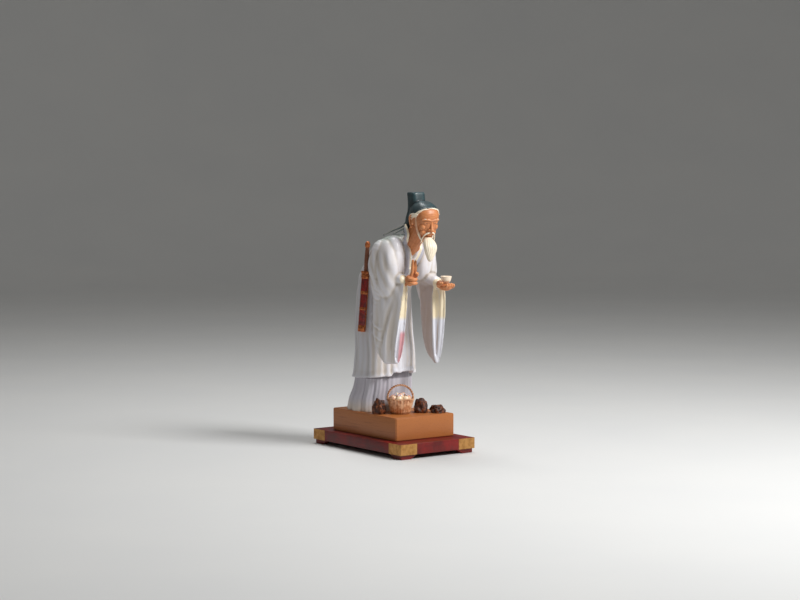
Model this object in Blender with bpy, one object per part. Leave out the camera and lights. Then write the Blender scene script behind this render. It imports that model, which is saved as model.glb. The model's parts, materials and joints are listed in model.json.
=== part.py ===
"""Immortal statue: a glazed stoneware figure on a brown block and a lacquered stand.

Metres, +Z up. The figure faces -Y and its left hand is at +X. The origin is on the ground,
at the centre of the stand's footprint.
"""

import math

import bmesh
import bpy
from mathutils import Matrix, Vector, noise

# Gap kept between pieces that touch, and the angle from which an edge is shaded sharp
touch = 0.0003
sharp_from = math.radians(38)

# Stand: board, apron and feet
stand_width = 0.198
stand_length = 0.324
stand_height = 0.0325
foot_height = 0.0095
foot_inset = 0.003
foot_reach = 0.046
foot_curve = 0.016
apron_wall = 0.012
board_thickness = 0.009

# Brass corner plates, let into the apron
plate_reach = 0.043
plate_thickness = 0.0012
plate_proud = 0.0005

# Block on the stand
block_width = 0.155
block_length = 0.233
block_height = 0.049
block_edge = 0.0015

# Figure on the block
figure_height = 0.475
figure_x = 0.0
figure_y = 0.0
figure_triangles = 5700
fruit_triangles = 800
fruit_voxel = 0.0011

# Cup on the left palm
cup_rim_radius = 0.0120
cup_foot_radius = 0.0062
cup_height = 0.0160
cup_wall = 0.0014

# Sword in its scabbard
scabbard_length = 0.126
scabbard_width = 0.016
scabbard_thickness = 0.0125
guard_width = 0.019
guard_height = 0.005
grip_length = 0.052
grip_thickness = 0.008
pommel_length = 0.012
pommel_width = 0.0105

# Basket with fruit in front of the figure
basket_x = -0.019
basket_y = -0.0530
basket_turn = math.radians(-32)
basket_rim_radius = 0.0290
basket_foot_radius = 0.0200
basket_height = 0.0330
basket_wall = 0.0024
basket_floor = 0.0030
handle_rise = 0.0310
handle_radius = 0.0025
fruit_radius = 0.0078
fruit_fit = 0.0006
fruit_round = 7
fruit_on_top = 3

# Rocks: place on the block and size across, along and up
rock_near_place = (-0.060, -0.032)
rock_near_size = (0.027, 0.029, 0.034)
rock_front_place = (0.0255, -0.066)
rock_front_size = (0.028, 0.032, 0.031)
rock_side_place = (0.055, -0.088)
rock_side_size = (0.034, 0.034, 0.018)
rock_sink = 0.30
rock_lump = 0.30
rock_ledge = 0.12

# Heights that follow
block_base = stand_height + touch
block_top = block_base + block_height
ground_of_pieces = block_top + touch

# The figure's own millimetre: its pose and carving are shares of its height
mm = figure_height / 475
figure_grain = 2.1


# Small tools
def along(rows, t):
    """Smooth curve through rows of (t, value, value...)."""
    if t <= rows[0][0]:
        return rows[0][1:]
    if t >= rows[-1][0]:
        return rows[-1][1:]
    k = max(i for i in range(len(rows) - 1) if rows[i][0] <= t)
    low, high = rows[k], rows[k + 1]
    before = rows[max(k - 1, 0)]
    after = rows[min(k + 2, len(rows) - 1)]
    span = high[0] - low[0]
    u = (t - low[0]) / span
    values = []
    for i in range(1, len(low)):
        slope_low = (high[i] - before[i]) / (high[0] - before[0]) * span
        slope_high = (after[i] - low[i]) / (after[0] - low[0]) * span
        values.append(
            low[i] * (2 * u**3 - 3 * u**2 + 1)
            + slope_low * (u**3 - 2 * u**2 + u)
            + high[i] * (3 * u**2 - 2 * u**3)
            + slope_high * (u**3 - u**2)
        )
    return values


def ease(low, high, t):
    """0 below low, 1 above high, smooth between."""
    u = min(max((t - low) / (high - low), 0.0), 1.0)
    return u * u * (3 - 2 * u)


def soft(value, power):
    """Signed power, for rounded boxes."""
    return math.copysign(abs(value) ** power, value)


def turns(count):
    return [2 * math.pi * i / count for i in range(count)]


def loft(bm, rings):
    """Closed body over rings of points, with a fan over each end."""
    rows = [[bm.verts.new(point) for point in ring] for ring in rings]
    for low, high in zip(rows, rows[1:]):
        for i in range(len(low)):
            j = (i + 1) % len(low)
            bm.faces.new((low[i], low[j], high[j], high[i]))
    for row in (rows[0], rows[-1]):
        middle = bm.verts.new(sum((v.co for v in row), Vector()) / len(row))
        for i in range(len(row)):
            bm.faces.new((row[i], row[(i + 1) % len(row)], middle))


def blob(bm, centre, sizes, frame=Matrix(), corner=1.0):
    """Ellipsoid with half sizes, in a frame; a corner power under 1 makes it boxier."""
    place = frame @ Matrix.Translation(centre) @ Matrix.Diagonal((*sizes, 1))
    rings = []
    for i in range(1, 18):
        rise = math.pi * (i / 18 - 0.5)
        wide, high = soft(math.cos(rise), corner), soft(math.sin(rise), corner)
        ring = [(soft(math.cos(t), corner), soft(math.sin(t), corner)) for t in turns(28)]
        rings.append([place @ Vector((x * wide, y * wide, high)) for x, y in ring])
    loft(bm, rings)


def tube(bm, points, frame=Matrix(), flat=1.0, sides=18, steps=6):
    """Round-ended tube through (x, y, z, radius) points; flat squeezes it across."""
    rows = [(i, *point) for i, point in enumerate(points)]
    count = (len(points) - 1) * steps
    path = [along(rows, i / steps) for i in range(count + 1)]
    spine = [frame @ Vector(p[:3]) for p in path]
    rings = []
    side = None
    for i, centre in enumerate(spine):
        ahead = (spine[min(i + 1, count)] - spine[max(i - 1, 0)]).normalized()
        if side is None:
            side = ahead.cross(Vector((0, 0, 1)))
            if side.length < 0.2:
                side = ahead.cross(Vector((0, 1, 0)))
        side = (side - ahead * side.dot(ahead)).normalized()
        up = ahead.cross(side)
        radius = path[i][3]
        shifts = [(0.0, 1.0)]
        if i == 0:
            shifts = [(-0.8, 0.4), (-0.5, 0.8), (0.0, 1.0)]
        if i == count:
            shifts = [(0.0, 1.0), (0.5, 0.8), (0.8, 0.4)]
        for shift, share in shifts:
            middle = centre + ahead * shift * radius * flat
            rings.append(
                [
                    middle
                    + side * math.cos(t) * radius * share
                    + up * math.sin(t) * radius * share * flat
                    for t in turns(sides)
                ]
            )
    loft(bm, rings)


def box(bm, low, high):
    """Box between two corners."""
    size = Vector(high) - Vector(low)
    middle = (Vector(high) + Vector(low)) / 2
    place = Matrix.Translation(middle) @ Matrix.Diagonal((*size, 1))
    bmesh.ops.create_cube(bm, size=1, matrix=place)


def prism(bm, outline, low, high):
    """Flat outline carried straight up from one height to another."""
    floor = [bm.verts.new((x, y, low)) for x, y in outline]
    roof = [bm.verts.new((x, y, high)) for x, y in outline]
    bm.faces.new(floor)
    bm.faces.new(roof)
    for i in range(len(outline)):
        j = (i + 1) % len(outline)
        bm.faces.new((floor[i], floor[j], roof[j], roof[i]))


def turned(bm, profile, sides, place):
    """Body of revolution from (radius, height) points; it starts and ends on the axis."""
    rings = [
        [place @ Vector((r * math.cos(t), r * math.sin(t), z)) for t in turns(sides)]
        for r, z in profile
    ]
    loft(bm, rings)


def flat_foot(bm, height):
    """Cuts everything under a height away and closes the cut."""
    everything = bm.verts[:] + bm.edges[:] + bm.faces[:]
    cut = bmesh.ops.bisect_plane(
        bm,
        geom=everything,
        plane_co=(0, 0, height),
        plane_no=(0, 0, 1),
        clear_inner=True,
    )
    edges = [e for e in cut["geom_cut"] if isinstance(e, bmesh.types.BMEdge)]
    bmesh.ops.edgeloop_fill(bm, edges=edges)


def outward(bm):
    bmesh.ops.recalc_face_normals(bm, faces=bm.faces[:])


def make(name, bm, material):
    """Named object from a bmesh, with its faces outward."""
    outward(bm)
    mesh = bpy.data.meshes.new(name)
    bm.to_mesh(mesh)
    bm.free()
    thing = bpy.data.objects.new(name, mesh)
    bpy.context.scene.collection.objects.link(thing)
    mesh.materials.append(material)
    return thing


def settle(thing):
    """Replaces an object's mesh by what its modifiers make of it."""
    bpy.context.view_layer.update()
    seen = thing.evaluated_get(bpy.context.evaluated_depsgraph_get())
    mesh = bpy.data.meshes.new_from_object(seen)
    thing.modifiers.clear()
    thing.data = mesh


def boolean(thing, other, operation):
    """Cuts, joins or keeps what two objects share; the other object is used up."""
    step = thing.modifiers.new(operation, "BOOLEAN")
    step.operation = operation
    step.object = other
    settle(thing)
    bpy.data.objects.remove(other)


def one_skin(thing, voxel, triangles):
    """Fuses overlapping forms into one skin, evens it and brings it to few triangles."""
    fuse = thing.modifiers.new("fuse", "REMESH")
    fuse.mode = "VOXEL"
    fuse.voxel_size = voxel
    settle(thing)
    even = thing.modifiers.new("even", "SMOOTH")
    even.factor = 0.5
    even.iterations = 1
    fewer = thing.modifiers.new("fewer", "DECIMATE")
    fewer.ratio = triangles / (2 * len(thing.data.polygons))
    fewer.use_collapse_triangulate = True
    settle(thing)


def paint(name, colour, roughness, metallic=0.0):
    material = bpy.data.materials.new(name)
    material.use_nodes = True
    shader = material.node_tree.nodes["Principled BSDF"]
    shader.inputs["Base Color"].default_value = (*colour, 1)
    shader.inputs["Roughness"].default_value = roughness
    shader.inputs["Metallic"].default_value = metallic
    return material


# Robe: rows of height, half width, back and front, in the figure's millimetres
skirt_rows = [
    (-6, 74, 110, -17),
    (0, 73, 108, -16),
    (25, 70, 102, -14),
    (50, 65, 91, -16),
    (95, 60, 83, -21),
]
robe_rows = [
    (72, 67, 91, -25),
    (90, 67, 88, -26),
    (132, 66, 82, -25),
    (176, 65, 84, -18),
    (219, 62, 84, -17),
    (263, 60, 81, -19),
    (285, 60, 78, -34),
    (307, 60, 68, -52),
    (324, 60, 56, -64),
    (339, 59, 45, -72),
    (357, 54, 30, -76),
    (371, 43, 13, -70),
    (380, 27, -3, -58),
    (384, 8, -18, -42),
]
robe_corner = 0.88
skirt_pleats = 15
robe_pleats = 11
neck_opening_foot = 325
neck_opening_top = 372
neck_opening_half = 21
neck_opening_depth = 6
neck_opening_x = 4


def pleats(angle, count):
    """Rounded ridges with sharp valleys between, about zero."""
    uneven = angle + 0.16 * math.sin(2 * angle + 0.8) + 0.07 * math.sin(3 * angle)
    return abs(math.cos(count * uneven / 2)) - 0.64


def ring_point(row, angle, height, swell):
    """Point on a robe section, pushed out by swell."""
    half, back, front = row
    middle = (back + front) / 2
    x = half * soft(math.cos(angle), robe_corner)
    y = (back - front) / 2 * soft(math.sin(angle), robe_corner)
    grow = 1 + swell / math.hypot(x, y)
    return Vector((x * grow, middle + y * grow, height))


def skirt(bm):
    rings = []
    steps = 24
    low, high = skirt_rows[0][0], skirt_rows[-1][0]
    for i in range(steps + 1):
        height = low + (high - low) * i / steps
        depth = 4.2 - 2.0 * height / high
        row = along(skirt_rows, height)
        rings.append(
            [
                ring_point(row, t, height, depth * pleats(t + 0.0008 * height, skirt_pleats))
                for t in turns(150)
            ]
        )
    loft(bm, rings)


def neck_dip(point):
    """How far the robe stands back inside the neck opening."""
    if point.y > -30 or point.z < neck_opening_foot:
        return 0.0
    share = (point.z - neck_opening_foot) / (neck_opening_top - neck_opening_foot)
    half = neck_opening_half * min(share, 1.0)
    return neck_opening_depth * (1 - ease(half - 3, half, abs(point.x - neck_opening_x)))


def robe(bm):
    rings = []
    steps = 78
    low, high = robe_rows[0][0], robe_rows[-1][0]
    for i in range(steps + 1):
        height = low + (high - low) * i / steps
        row = along(robe_rows, height)
        hang = 1 - ease(150, 330, height)
        depth = 0.7 + 3.0 * hang
        hem = 2.2 * (1 - ease(low, low + 16, height))
        ring = []
        for t in turns(150):
            drift = t + 0.0012 * height
            swell = hem + depth * pleats(drift, robe_pleats)
            lift = (3 + 4 * math.cos(t + 0.9)) * (1 - ease(low, low + 40, height))
            point = ring_point(row, t, height + lift, swell)
            point.y += neck_dip(point)
            ring.append(point)
        rings.append(ring)
    loft(bm, rings)


def robe_front(x, height):
    """Point of the robe's front at a given x."""
    half, back, front = along(robe_rows, height)
    share = min(abs(x) / half, 0.99) ** (2 / robe_corner)
    depth = (back - front) / 2 * (1 - share) ** (robe_corner / 2)
    return Vector((x, (back + front) / 2 - depth, height))


# Collar and front edge: (x, height) steps down the robe's front
near_lapel = [(-20, 372), (-18, 366), (-14.5, 352), (-11.5, 338), (-7, 325), (-3, 315), (1, 304)]
far_lapel = [(30, 374), (28, 366), (24, 352), (19, 338), (14, 325), (10, 316), (7, 308)]
front_edge = [(4 - 0.2 * i, 312 - 6 * i) for i in range(40)]
lapel_width = 11


def lapel(bm, steps, width):
    """Flat band laid along the robe's front through (x, height) steps."""
    spine = [robe_front(x, height) for x, height in steps]
    rings = []
    for i, centre in enumerate(spine):
        ahead = (spine[min(i + 1, len(spine) - 1)] - spine[max(i - 1, 0)]).normalized()
        out = Vector((0, -1, 0.25))
        out = (out - ahead * out.dot(ahead)).normalized()
        side = ahead.cross(out)
        rings.append(
            [
                centre + side * math.cos(t) * width / 2 + out * (1.0 + 2.4 * math.sin(t))
                for t in turns(16)
            ]
        )
    loft(bm, rings)


# Arms and sleeves: a sleeve hangs as a deep bag from elbow to cuff
sleeve_top_half = 13.5
sleeve_foot_half = 8.5
sleeve_rounding = 0.16
sleeve_swell = 6.0
cuff_lip = 3.2
cuff_lip_share = 0.985
cuff_depth_share = 0.16


class Sleeve:
    """Where a sleeve's bag starts and ends, and how its lower edge runs."""

    def __init__(self, elbow, wrist, slant, skew, foot_rows, mirror):
        self.elbow = Vector(elbow)
        self.wrist = Vector(wrist)
        self.slant = slant
        self.skew = skew
        self.foot_rows = foot_rows
        self.mirror = mirror

    def point(self, share, lift, across, side):
        """Point at a share from elbow to cuff, a share of the bag's height, and aside."""
        run = self.wrist - self.elbow
        run.z = 0
        reach = run.length
        run.normalize()
        out = Vector((run.y, -run.x, 0)) * self.mirror
        top = self.elbow.z + (self.wrist.z - self.elbow.z) * share
        foot = along(self.foot_rows, share)[0]
        inner, outer = self.slant
        slant = inner + (outer - inner) * side
        distance = share * (reach + self.skew * (2 * side - 1) - slant * (1 - lift) ** 1.3)
        place = self.elbow + run * distance + out * across
        place.z = foot + (top - foot) * lift
        return place

    def fold(self, share, lift):
        """Hanging folds, deeper towards the lower edge, and one slanting crease."""
        deep = 1 - ease(0.15, 0.95, lift)
        wave = math.cos(2 * math.pi * (1.7 * share + 0.22 * lift)) * 2.6 * deep
        crease = -3.0 * math.exp(-(((share - 0.30 - 0.55 * lift) / 0.07) ** 2))
        return wave + crease * ease(0.1, 0.3, lift) * (1 - ease(0.6, 0.9, lift))

    def ring(self, share, inset, scale=1.0):
        """Section of the bag; inset leaves the cuff's lip."""
        rounding = math.sin(math.pi / 2 * min(share / sleeve_rounding, 1.0)) ** 0.6
        points = []
        for t in turns(64):
            lift = 0.5 + 0.5 * soft(math.sin(t), 0.8)
            thick = sleeve_foot_half + (sleeve_top_half - sleeve_foot_half) * lift
            thick = (thick + sleeve_swell * math.sin(math.pi * share) * lift) * scale
            across = max(thick * rounding - inset, 1.0) * soft(math.cos(t), 0.8)
            if inset:
                lift = 0.5 + (lift - 0.5) * cuff_lip_share
            fold = self.fold(share, lift) * (1 if across > 0 else 0.6)
            side = 0.5 + 0.5 * math.cos(t)
            points.append(self.point(share, lift, across + fold, side))
        return points


right_sleeve = Sleeve(
    elbow=(-57, -8, 292),
    wrist=(-32, -93, 293),
    slant=(13, 38),
    skew=4,
    foot_rows=[(0.0, 172), (0.12, 146), (0.25, 123), (0.46, 109), (0.75, 107), (1.0, 109)],
    mirror=1,
)
left_sleeve = Sleeve(
    elbow=(51, -42, 290),
    wrist=(50, -101, 291),
    slant=(2, 8),
    skew=8,
    foot_rows=[(0.0, 182), (0.2, 142), (0.45, 120), (0.76, 108), (1.0, 107)],
    mirror=-1,
)


def sleeve(bm, bag):
    """Outer skin from elbow to cuff, then back inside as the cuff's hollow."""
    outer = [bag.ring(0.02 + 0.98 * i / 30, 0.0) for i in range(31)]
    inner = [bag.ring(1.0 - cuff_depth_share * i / 6, cuff_lip) for i in range(7)]
    inner.append(bag.ring(1.0 - cuff_depth_share, cuff_lip, 0.5))
    loft(bm, outer + inner)


right_arm = [
    (-44, -26, 351, 25),
    (-50, -22, 318, 25),
    (-51, -28, 298, 23),
    (-43, -56, 291, 18),
    (-36, -80, 289, 13),
]
left_arm = [
    (46, -42, 355, 28),
    (52, -46, 320, 26),
    (53, -52, 292, 22),
    (51, -74, 283, 15),
    (50, -92, 280, 12),
]
shoulder_cloth = [
    ((-44, -41, 306), (27, 38, 68)),
    ((-35, -50, 340), (22, 26, 40)),
    ((38, -48, 325), (20, 28, 42)),
]
drape_steps = 5
drape_fall = 9
drape_thinning = 0.055


def arms(bm):
    """Upper arms and forearms in their sleeves, and the cloth that hangs from them."""
    for arm in (right_arm, left_arm):
        tube(bm, arm)
        for k in range(1, drape_steps + 1):
            thinner = 1 - drape_thinning * k
            tube(bm, [(x, y, z - drape_fall * k, r * thinner) for x, y, z, r in arm[1:-1]])
    for centre, sizes in shoulder_cloth:
        blob(bm, centre, sizes, corner=0.85)


# Head: its own frame, bowed forward and turned a little to the right
head_place = (4, -107, 420)
head_turn = math.radians(-6)
head_bow = math.radians(20)
head_frame = (
    Matrix.Translation(head_place)
    @ Matrix.Rotation(head_turn, 4, "Z")
    @ Matrix.Rotation(head_bow, 4, "X")
)
skull_middle = Vector((0, 2, 4))
skull_half = Vector((27.5, 34, 30))
skull_corner = 0.85
rim_tilt = math.radians(52)
cap_thickness = 1.5
crown_foot = 425
crown_height = 50
beard_top = 380
beard_length = 51


def on_skull(direction, cover):
    """Point of the skull's surface in a direction from its middle, plus a cover."""
    power = 2 / skull_corner
    total = sum(abs(d / half) ** power for d, half in zip(direction, skull_half))
    return skull_middle + direction * (total ** (-1 / power) + cover)


def head(bm):
    blob(bm, skull_middle, skull_half, head_frame, skull_corner)
    blob(bm, (0, -10, -8), (22.5, 23, 30), head_frame)
    blob(bm, (0, -19, -31), (12, 11, 9), head_frame)
    blob(bm, (0, -33, -7), (4.2, 6, 10), head_frame)
    blob(bm, (0, -36.5, -13), (5.6, 4.6, 4.2), head_frame)
    tube(bm, [(-18, -26, 6, 2.6), (0, -32, 8, 3.4), (18, -26, 6, 2.6)], head_frame)
    for side in (-1, 1):
        blob(bm, (side * 10, -28, -1), (6.4, 4, 4), head_frame)
        blob(bm, (side * 13, -23, -12), (8, 8, 8), head_frame)
        blob(bm, (side * 26, 4, -8), (4, 8, 13), head_frame)
        moustache = [(2, -36, -18, 1.8), (10, -34, -22, 2.4), (15, -29, -34, 2.0), (16, -27, -42, 1.6)]
        brow = [(8, -31, 8, 1.6), (16, -29, 9, 2.0), (23, -24, 2, 1.4)]
        whisker = [(27, -5, 12, 2.4), (25, -10, -12, 2.8), (15, -19, -36, 3.2)]
        for lock in (moustache, brow, whisker):
            tube(bm, [(side * x, y, z, r) for x, y, z, r in lock], head_frame)
    tube(bm, [(0, -46, 350, 25), (2, -74, 380, 22), (4, -94, 402, 21)])


def beard(bm):
    """Full hanging beard with locks."""
    sizes = [(0.0, 6, 6), (0.15, 12, 9), (0.35, 15, 10), (0.6, 13, 8), (0.9, 6, 5), (1.0, 2, 2)]
    middles = [(0.0, -122), (0.2, -129), (0.45, -134), (1.0, -133)]
    rings = []
    for i in range(19):
        share = i / 18
        wide, deep = along(sizes, share)
        y = along(middles, share)[0]
        centre = Vector((1 - 2 * share, y, beard_top - beard_length * share))
        ring = []
        for t in turns(48):
            lock = 1 + 0.10 * math.cos(8 * t + 1.2 * math.sin(5 * share))
            ring.append(centre + Vector((wide * math.cos(t), deep * math.sin(t), 0)) * lock)
        rings.append(ring)
    loft(bm, rings)


def cap_direction(angle, rise):
    """Direction from the skull's middle: round the rim, and from the rim up to the cap's pole."""
    ahead = Vector((0, -math.cos(rim_tilt), math.sin(rim_tilt)))
    pole = Vector((0, math.sin(rim_tilt), math.cos(rim_tilt)))
    around = Vector((1, 0, 0)) * math.cos(angle) + ahead * math.sin(angle)
    return around * math.cos(rise) + pole * math.sin(rise)


def cap(bm):
    """Soft cap with a square crown, a roll of hair under its rim, and cloth tails."""
    rings = []
    for i in range(9):
        rise = math.radians(86) * i / 8
        points = [on_skull(cap_direction(t, rise), cap_thickness) for t in turns(40)]
        rings.append([head_frame @ point for point in points])
    loft(bm, rings)
    hair = [on_skull(cap_direction(2 * math.pi * i / 24, -0.06), 0.5) for i in range(25)]
    tube(bm, [(*point, 3.2) for point in hair], head_frame, sides=10, steps=2)
    crown = []
    for i in range(13):
        share = i / 12
        half = (16 + 1.0 * share, 15.5 - 0.5 * share)
        if i == 12:
            half = (half[0] * 0.93, half[1] * 0.93)
        y = -80 - 3.0 * math.sin(math.pi * share)
        middle = Vector((1.5, y, crown_foot + crown_height * share))
        crown.append(
            [
                middle
                + Vector((half[0] * soft(math.cos(t), 0.55), half[1] * soft(math.sin(t), 0.55), 0))
                for t in turns(40)
            ]
        )
    loft(bm, crown)
    fall = [(1, -74, 436, 15), (1, -68, 420, 16), (1, -63, 404, 15), (0, -56, 390, 13)]
    right_tail = [(-3, -64, 415, 5), (-7, -42, 400, 6), (-13, -16, 391, 6), (-20, 6, 381, 4)]
    left_tail = [(5, -64, 415, 5), (7, -42, 399, 6), (7, -18, 391, 6), (4, 4, 383, 4)]
    tube(bm, fall, flat=0.5)
    tube(bm, right_tail, flat=0.6)
    tube(bm, left_tail, flat=0.6)


# Hands
right_hand = Vector((-27, -98, 289))
left_palm = Vector((50, -122, 273))
palm_top = 280.5


def hands(bm):
    tube(bm, [(-36, -74, 280, 9), (-30, -88, 285, 8.5), (-26, -97, 289, 9)])
    blob(bm, right_hand, (11.5, 12, 12.5))
    for k in range(2):
        x = -27 + 7 * k
        tube(bm, [(x, -103, 298, 4.2), (x + 1, -106, 314, 3.8), (x + 2, -105, 331 - 2 * k, 3.0)])
    for k in range(2):
        z = 292 - 8 * k
        tube(bm, [(-33, -106, z, 4), (-26, -112, z - 1, 4.2), (-18, -108, z - 1, 3.8)])
    tube(bm, [(-18, -98, 293, 4.4), (-16, -107, 300, 4), (-21, -111, 305, 3.4)])
    tube(bm, [(50, -80, 282, 9), (50, -98, 279, 8.5), (50, -112, 275, 9)])
    blob(bm, left_palm, (12.5, 17, 8.0))
    for k in range(4):
        x = 41.5 + 5.8 * k
        tip = 281 - 1.5 * abs(k - 1.5)
        tube(bm, [(x, -128, 273, 3.8), (x, -135, 274, 3.6), (x, -138, tip, 2.9)])
    tube(bm, [(39, -114, 275, 4.2), (35, -121, 278, 4), (35, -128, 281, 3.2)])


def figure_to_world():
    return Matrix.Translation((figure_x, figure_y, ground_of_pieces)) @ Matrix.Scale(mm, 4)


# Cup
def cup_body(bm, grow):
    """Small cup on its foot; grow widens the outside for the seat in the palm."""
    place = figure_to_world() @ Vector((left_palm.x, left_palm.y - 2, palm_top))
    mouth = cup_rim_radius
    foot = cup_foot_radius
    outside = [
        (0.001, -grow),
        (foot + grow, -grow),
        (foot + grow, 0.002),
        (foot * 1.25 + grow, 0.0034),
        (mouth * 0.86 + grow, cup_height * 0.55),
        (mouth + grow, cup_height + grow),
    ]
    inside = [
        (mouth - cup_wall, cup_height),
        (mouth * 0.86 - cup_wall, cup_height * 0.55),
        (foot * 1.1, 0.0034 + cup_wall),
        (0.001, 0.0030 + cup_wall),
    ]
    lid = [(0.001, cup_height + grow)]
    turned(bm, outside + (lid if grow else inside), 24, Matrix.Translation(place))


# Sword: straight from the tip of the scabbard to the pommel, its width along sword_flat
sword_foot = Vector((-69, 20, 174))
sword_head = Vector((-59, 11, 362))
sword_flat = Vector((-0.55, 0.84, 0))


def sword_frame():
    world = figure_to_world()
    foot = world @ sword_foot
    up = (world @ sword_head - foot).normalized()
    back = (sword_flat - up * up.dot(sword_flat)).normalized()
    side = back.cross(up)
    turn = Matrix((side, back, up)).transposed().to_4x4()
    return Matrix.Translation(foot) @ turn


def sword_body(bm, grow):
    """Scabbard, guard, grip and pommel in one; grow thickens it for its seat."""
    frame = sword_frame()
    top = scabbard_length
    grip_top = top + guard_height + grip_length
    sections = [
        (-grow, 0.70, 0.75, 0.0),
        (0.004, 0.92, 1.0, 0.0),
        (0.012, 1.0, 1.15, 0.0),
        (0.014, 0.93, 1.0, 0.0),
        (top * 0.60, 1.0, 1.0, 0.0),
        (top - 0.010, 1.0, 1.0, 0.0),
        (top - 0.009, 1.08, 1.2, 0.0),
        (top, 1.08, 1.2, 0.0),
        (top + 0.0004, guard_width / scabbard_width, 1.1, 0.0),
        (top + guard_height, guard_width / scabbard_width, 1.1, 0.0),
        (top + guard_height + 0.0004, 0.0, 0.0, grip_thickness),
        (top + guard_height + grip_length / 2, 0.0, 0.0, grip_thickness * 1.12),
        (grip_top, 0.0, 0.0, grip_thickness * 0.9),
        (grip_top + 0.0004, 0.0, 0.0, pommel_width * 0.92),
        (grip_top + pommel_length * 0.6, 0.0, 0.0, pommel_width),
        (grip_top + pommel_length + grow, 0.0, 0.0, pommel_width * 0.5),
    ]
    rings = []
    for height, across, through, round_size in sections:
        wide = (across * scabbard_width + round_size) / 2 + grow
        deep = (through * scabbard_thickness + round_size) / 2 + grow
        rings.append(
            [
                frame @ Vector((deep * soft(math.cos(t), 0.55), wide * soft(math.sin(t), 0.55), height))
                for t in turns(16)
            ]
        )
    loft(bm, rings)


# Figure with the seats for the cup and the sword
def build_figure():
    bm = bmesh.new()
    skirt(bm)
    robe(bm)
    lapel(bm, near_lapel, lapel_width)
    lapel(bm, far_lapel, lapel_width)
    lapel(bm, front_edge, lapel_width)
    arms(bm)
    sleeve(bm, right_sleeve)
    sleeve(bm, left_sleeve)
    head(bm)
    beard(bm)
    cap(bm)
    hands(bm)
    bmesh.ops.transform(bm, matrix=figure_to_world(), verts=bm.verts[:])
    glaze = paint("figure_glaze", (0.50, 0.47, 0.47), 0.28)
    thing = make("figure", bm, glaze)
    one_skin(thing, figure_grain * mm, figure_triangles)
    trimmed = bmesh.new()
    trimmed.from_mesh(thing.data)
    flat_foot(trimmed, ground_of_pieces)
    outward(trimmed)
    trimmed.to_mesh(thing.data)
    trimmed.free()
    for body in (cup_body, sword_body):
        seat = bmesh.new()
        body(seat, touch)
        boolean(thing, make("seat", seat, glaze), "DIFFERENCE")


def build_cup():
    bm = bmesh.new()
    cup_body(bm, 0.0)
    make("cup", bm, paint("cup_glaze", (0.80, 0.74, 0.64), 0.25))


def build_sword():
    bm = bmesh.new()
    sword_body(bm, 0.0)
    make("sword", bm, paint("scabbard_red", (0.16, 0.012, 0.006), 0.35))


# Basket, fruit and rocks on the block
def basket_place():
    spot = Matrix.Translation((basket_x, basket_y, ground_of_pieces))
    return spot @ Matrix.Rotation(basket_turn, 4, "Z")


def basket_radius(height):
    """Outside radius of the basket at a height over its foot."""
    share = height / basket_height
    swell = 0.10 * math.sin(math.pi * share)
    return basket_foot_radius + (basket_rim_radius - basket_foot_radius) * (share + swell * 2)


def build_basket():
    place = basket_place()
    bm = bmesh.new()
    steps = [basket_height * i / 4 for i in range(5)]
    outside = [(0.001, 0.0)] + [(basket_radius(h), h) for h in steps]
    inside = [(basket_radius(h) - basket_wall, h) for h in reversed(steps) if h > basket_floor]
    inside.append((basket_radius(basket_floor) - basket_wall, basket_floor))
    turned(bm, outside + inside + [(0.001, basket_floor)], 28, place)
    basket = make("basket", bm, paint("basket_brown", (0.26, 0.10, 0.035), 0.5))
    arch = bmesh.new()
    radius = basket_rim_radius - basket_wall / 2
    points = []
    for i in range(9):
        t = math.pi * i / 8
        points.append(
            (
                radius * math.cos(t),
                0.0,
                basket_height - 0.003 + handle_rise * soft(math.sin(t), 0.85),
                handle_radius,
            )
        )
    tube(arch, points, place, sides=8, steps=1)
    boolean(basket, make("handle", arch, basket.data.materials[0]), "UNION")


def build_fruit():
    place = basket_place()
    bm = bmesh.new()
    floor = basket_floor + touch
    inner = max(basket_wall, basket_wall / 2 + handle_radius) + fruit_fit
    fill_top = basket_height - 0.004
    steps = [floor + (fill_top - floor) * i / 5 for i in range(6)]
    fill = [(0.001, floor)] + [(basket_radius(h) - inner, h) for h in steps]
    turned(bm, fill + [(0.001, fill_top)], 36, place)
    ring = basket_rim_radius - inner - fruit_radius
    for t in turns(fruit_round):
        spot = (ring * math.cos(t), ring * math.sin(t), basket_height - 0.001)
        blob(bm, spot, [fruit_radius * 0.96] * 3, place)
    for t in turns(fruit_on_top):
        x, y = 0.45 * ring * math.cos(t + 0.5), 0.45 * ring * math.sin(t + 0.5)
        spot = (x, y, basket_height + 0.004)
        blob(bm, spot, [fruit_radius] * 3, place)
    fruit = make("fruit", bm, paint("fruit_glaze", (0.75, 0.45, 0.38), 0.35))
    one_skin(fruit, fruit_voxel, fruit_triangles)


def build_rock(name, spot, size, seed):
    """Lumpy rock with a flat foot."""
    bm = bmesh.new()
    bmesh.ops.create_icosphere(bm, subdivisions=3, radius=0.5)
    for v in bm.verts:
        lump = noise.noise(v.co * 3.1 + Vector((seed, 0, 0)))
        ledge = noise.noise(v.co * 7.0 + Vector((0, seed, 0)))
        v.co *= 1 + rock_lump * lump + rock_ledge * ledge
        v.co.x *= size[0]
        v.co.y *= size[1]
        v.co.z = (v.co.z + 0.5 - rock_sink) * size[2] / (1 - rock_sink)
    flat_foot(bm, 0.0)
    shift = Vector((*spot, ground_of_pieces))
    bmesh.ops.translate(bm, vec=shift, verts=bm.verts[:])
    make(name, bm, paint(name + "_clay", (0.07, 0.03, 0.016), 0.6))


# Block, stand and corner plates
def build_block():
    bm = bmesh.new()
    half = Vector((block_width / 2, block_length / 2, 0))
    box(bm, (-half.x, -half.y, block_base), (half.x, half.y, block_top))
    bmesh.ops.bevel(bm, geom=bm.edges[:], offset=block_edge, segments=2, affect="EDGES")
    make("block", bm, paint("block_brown", (0.22, 0.085, 0.032), 0.45))


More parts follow.
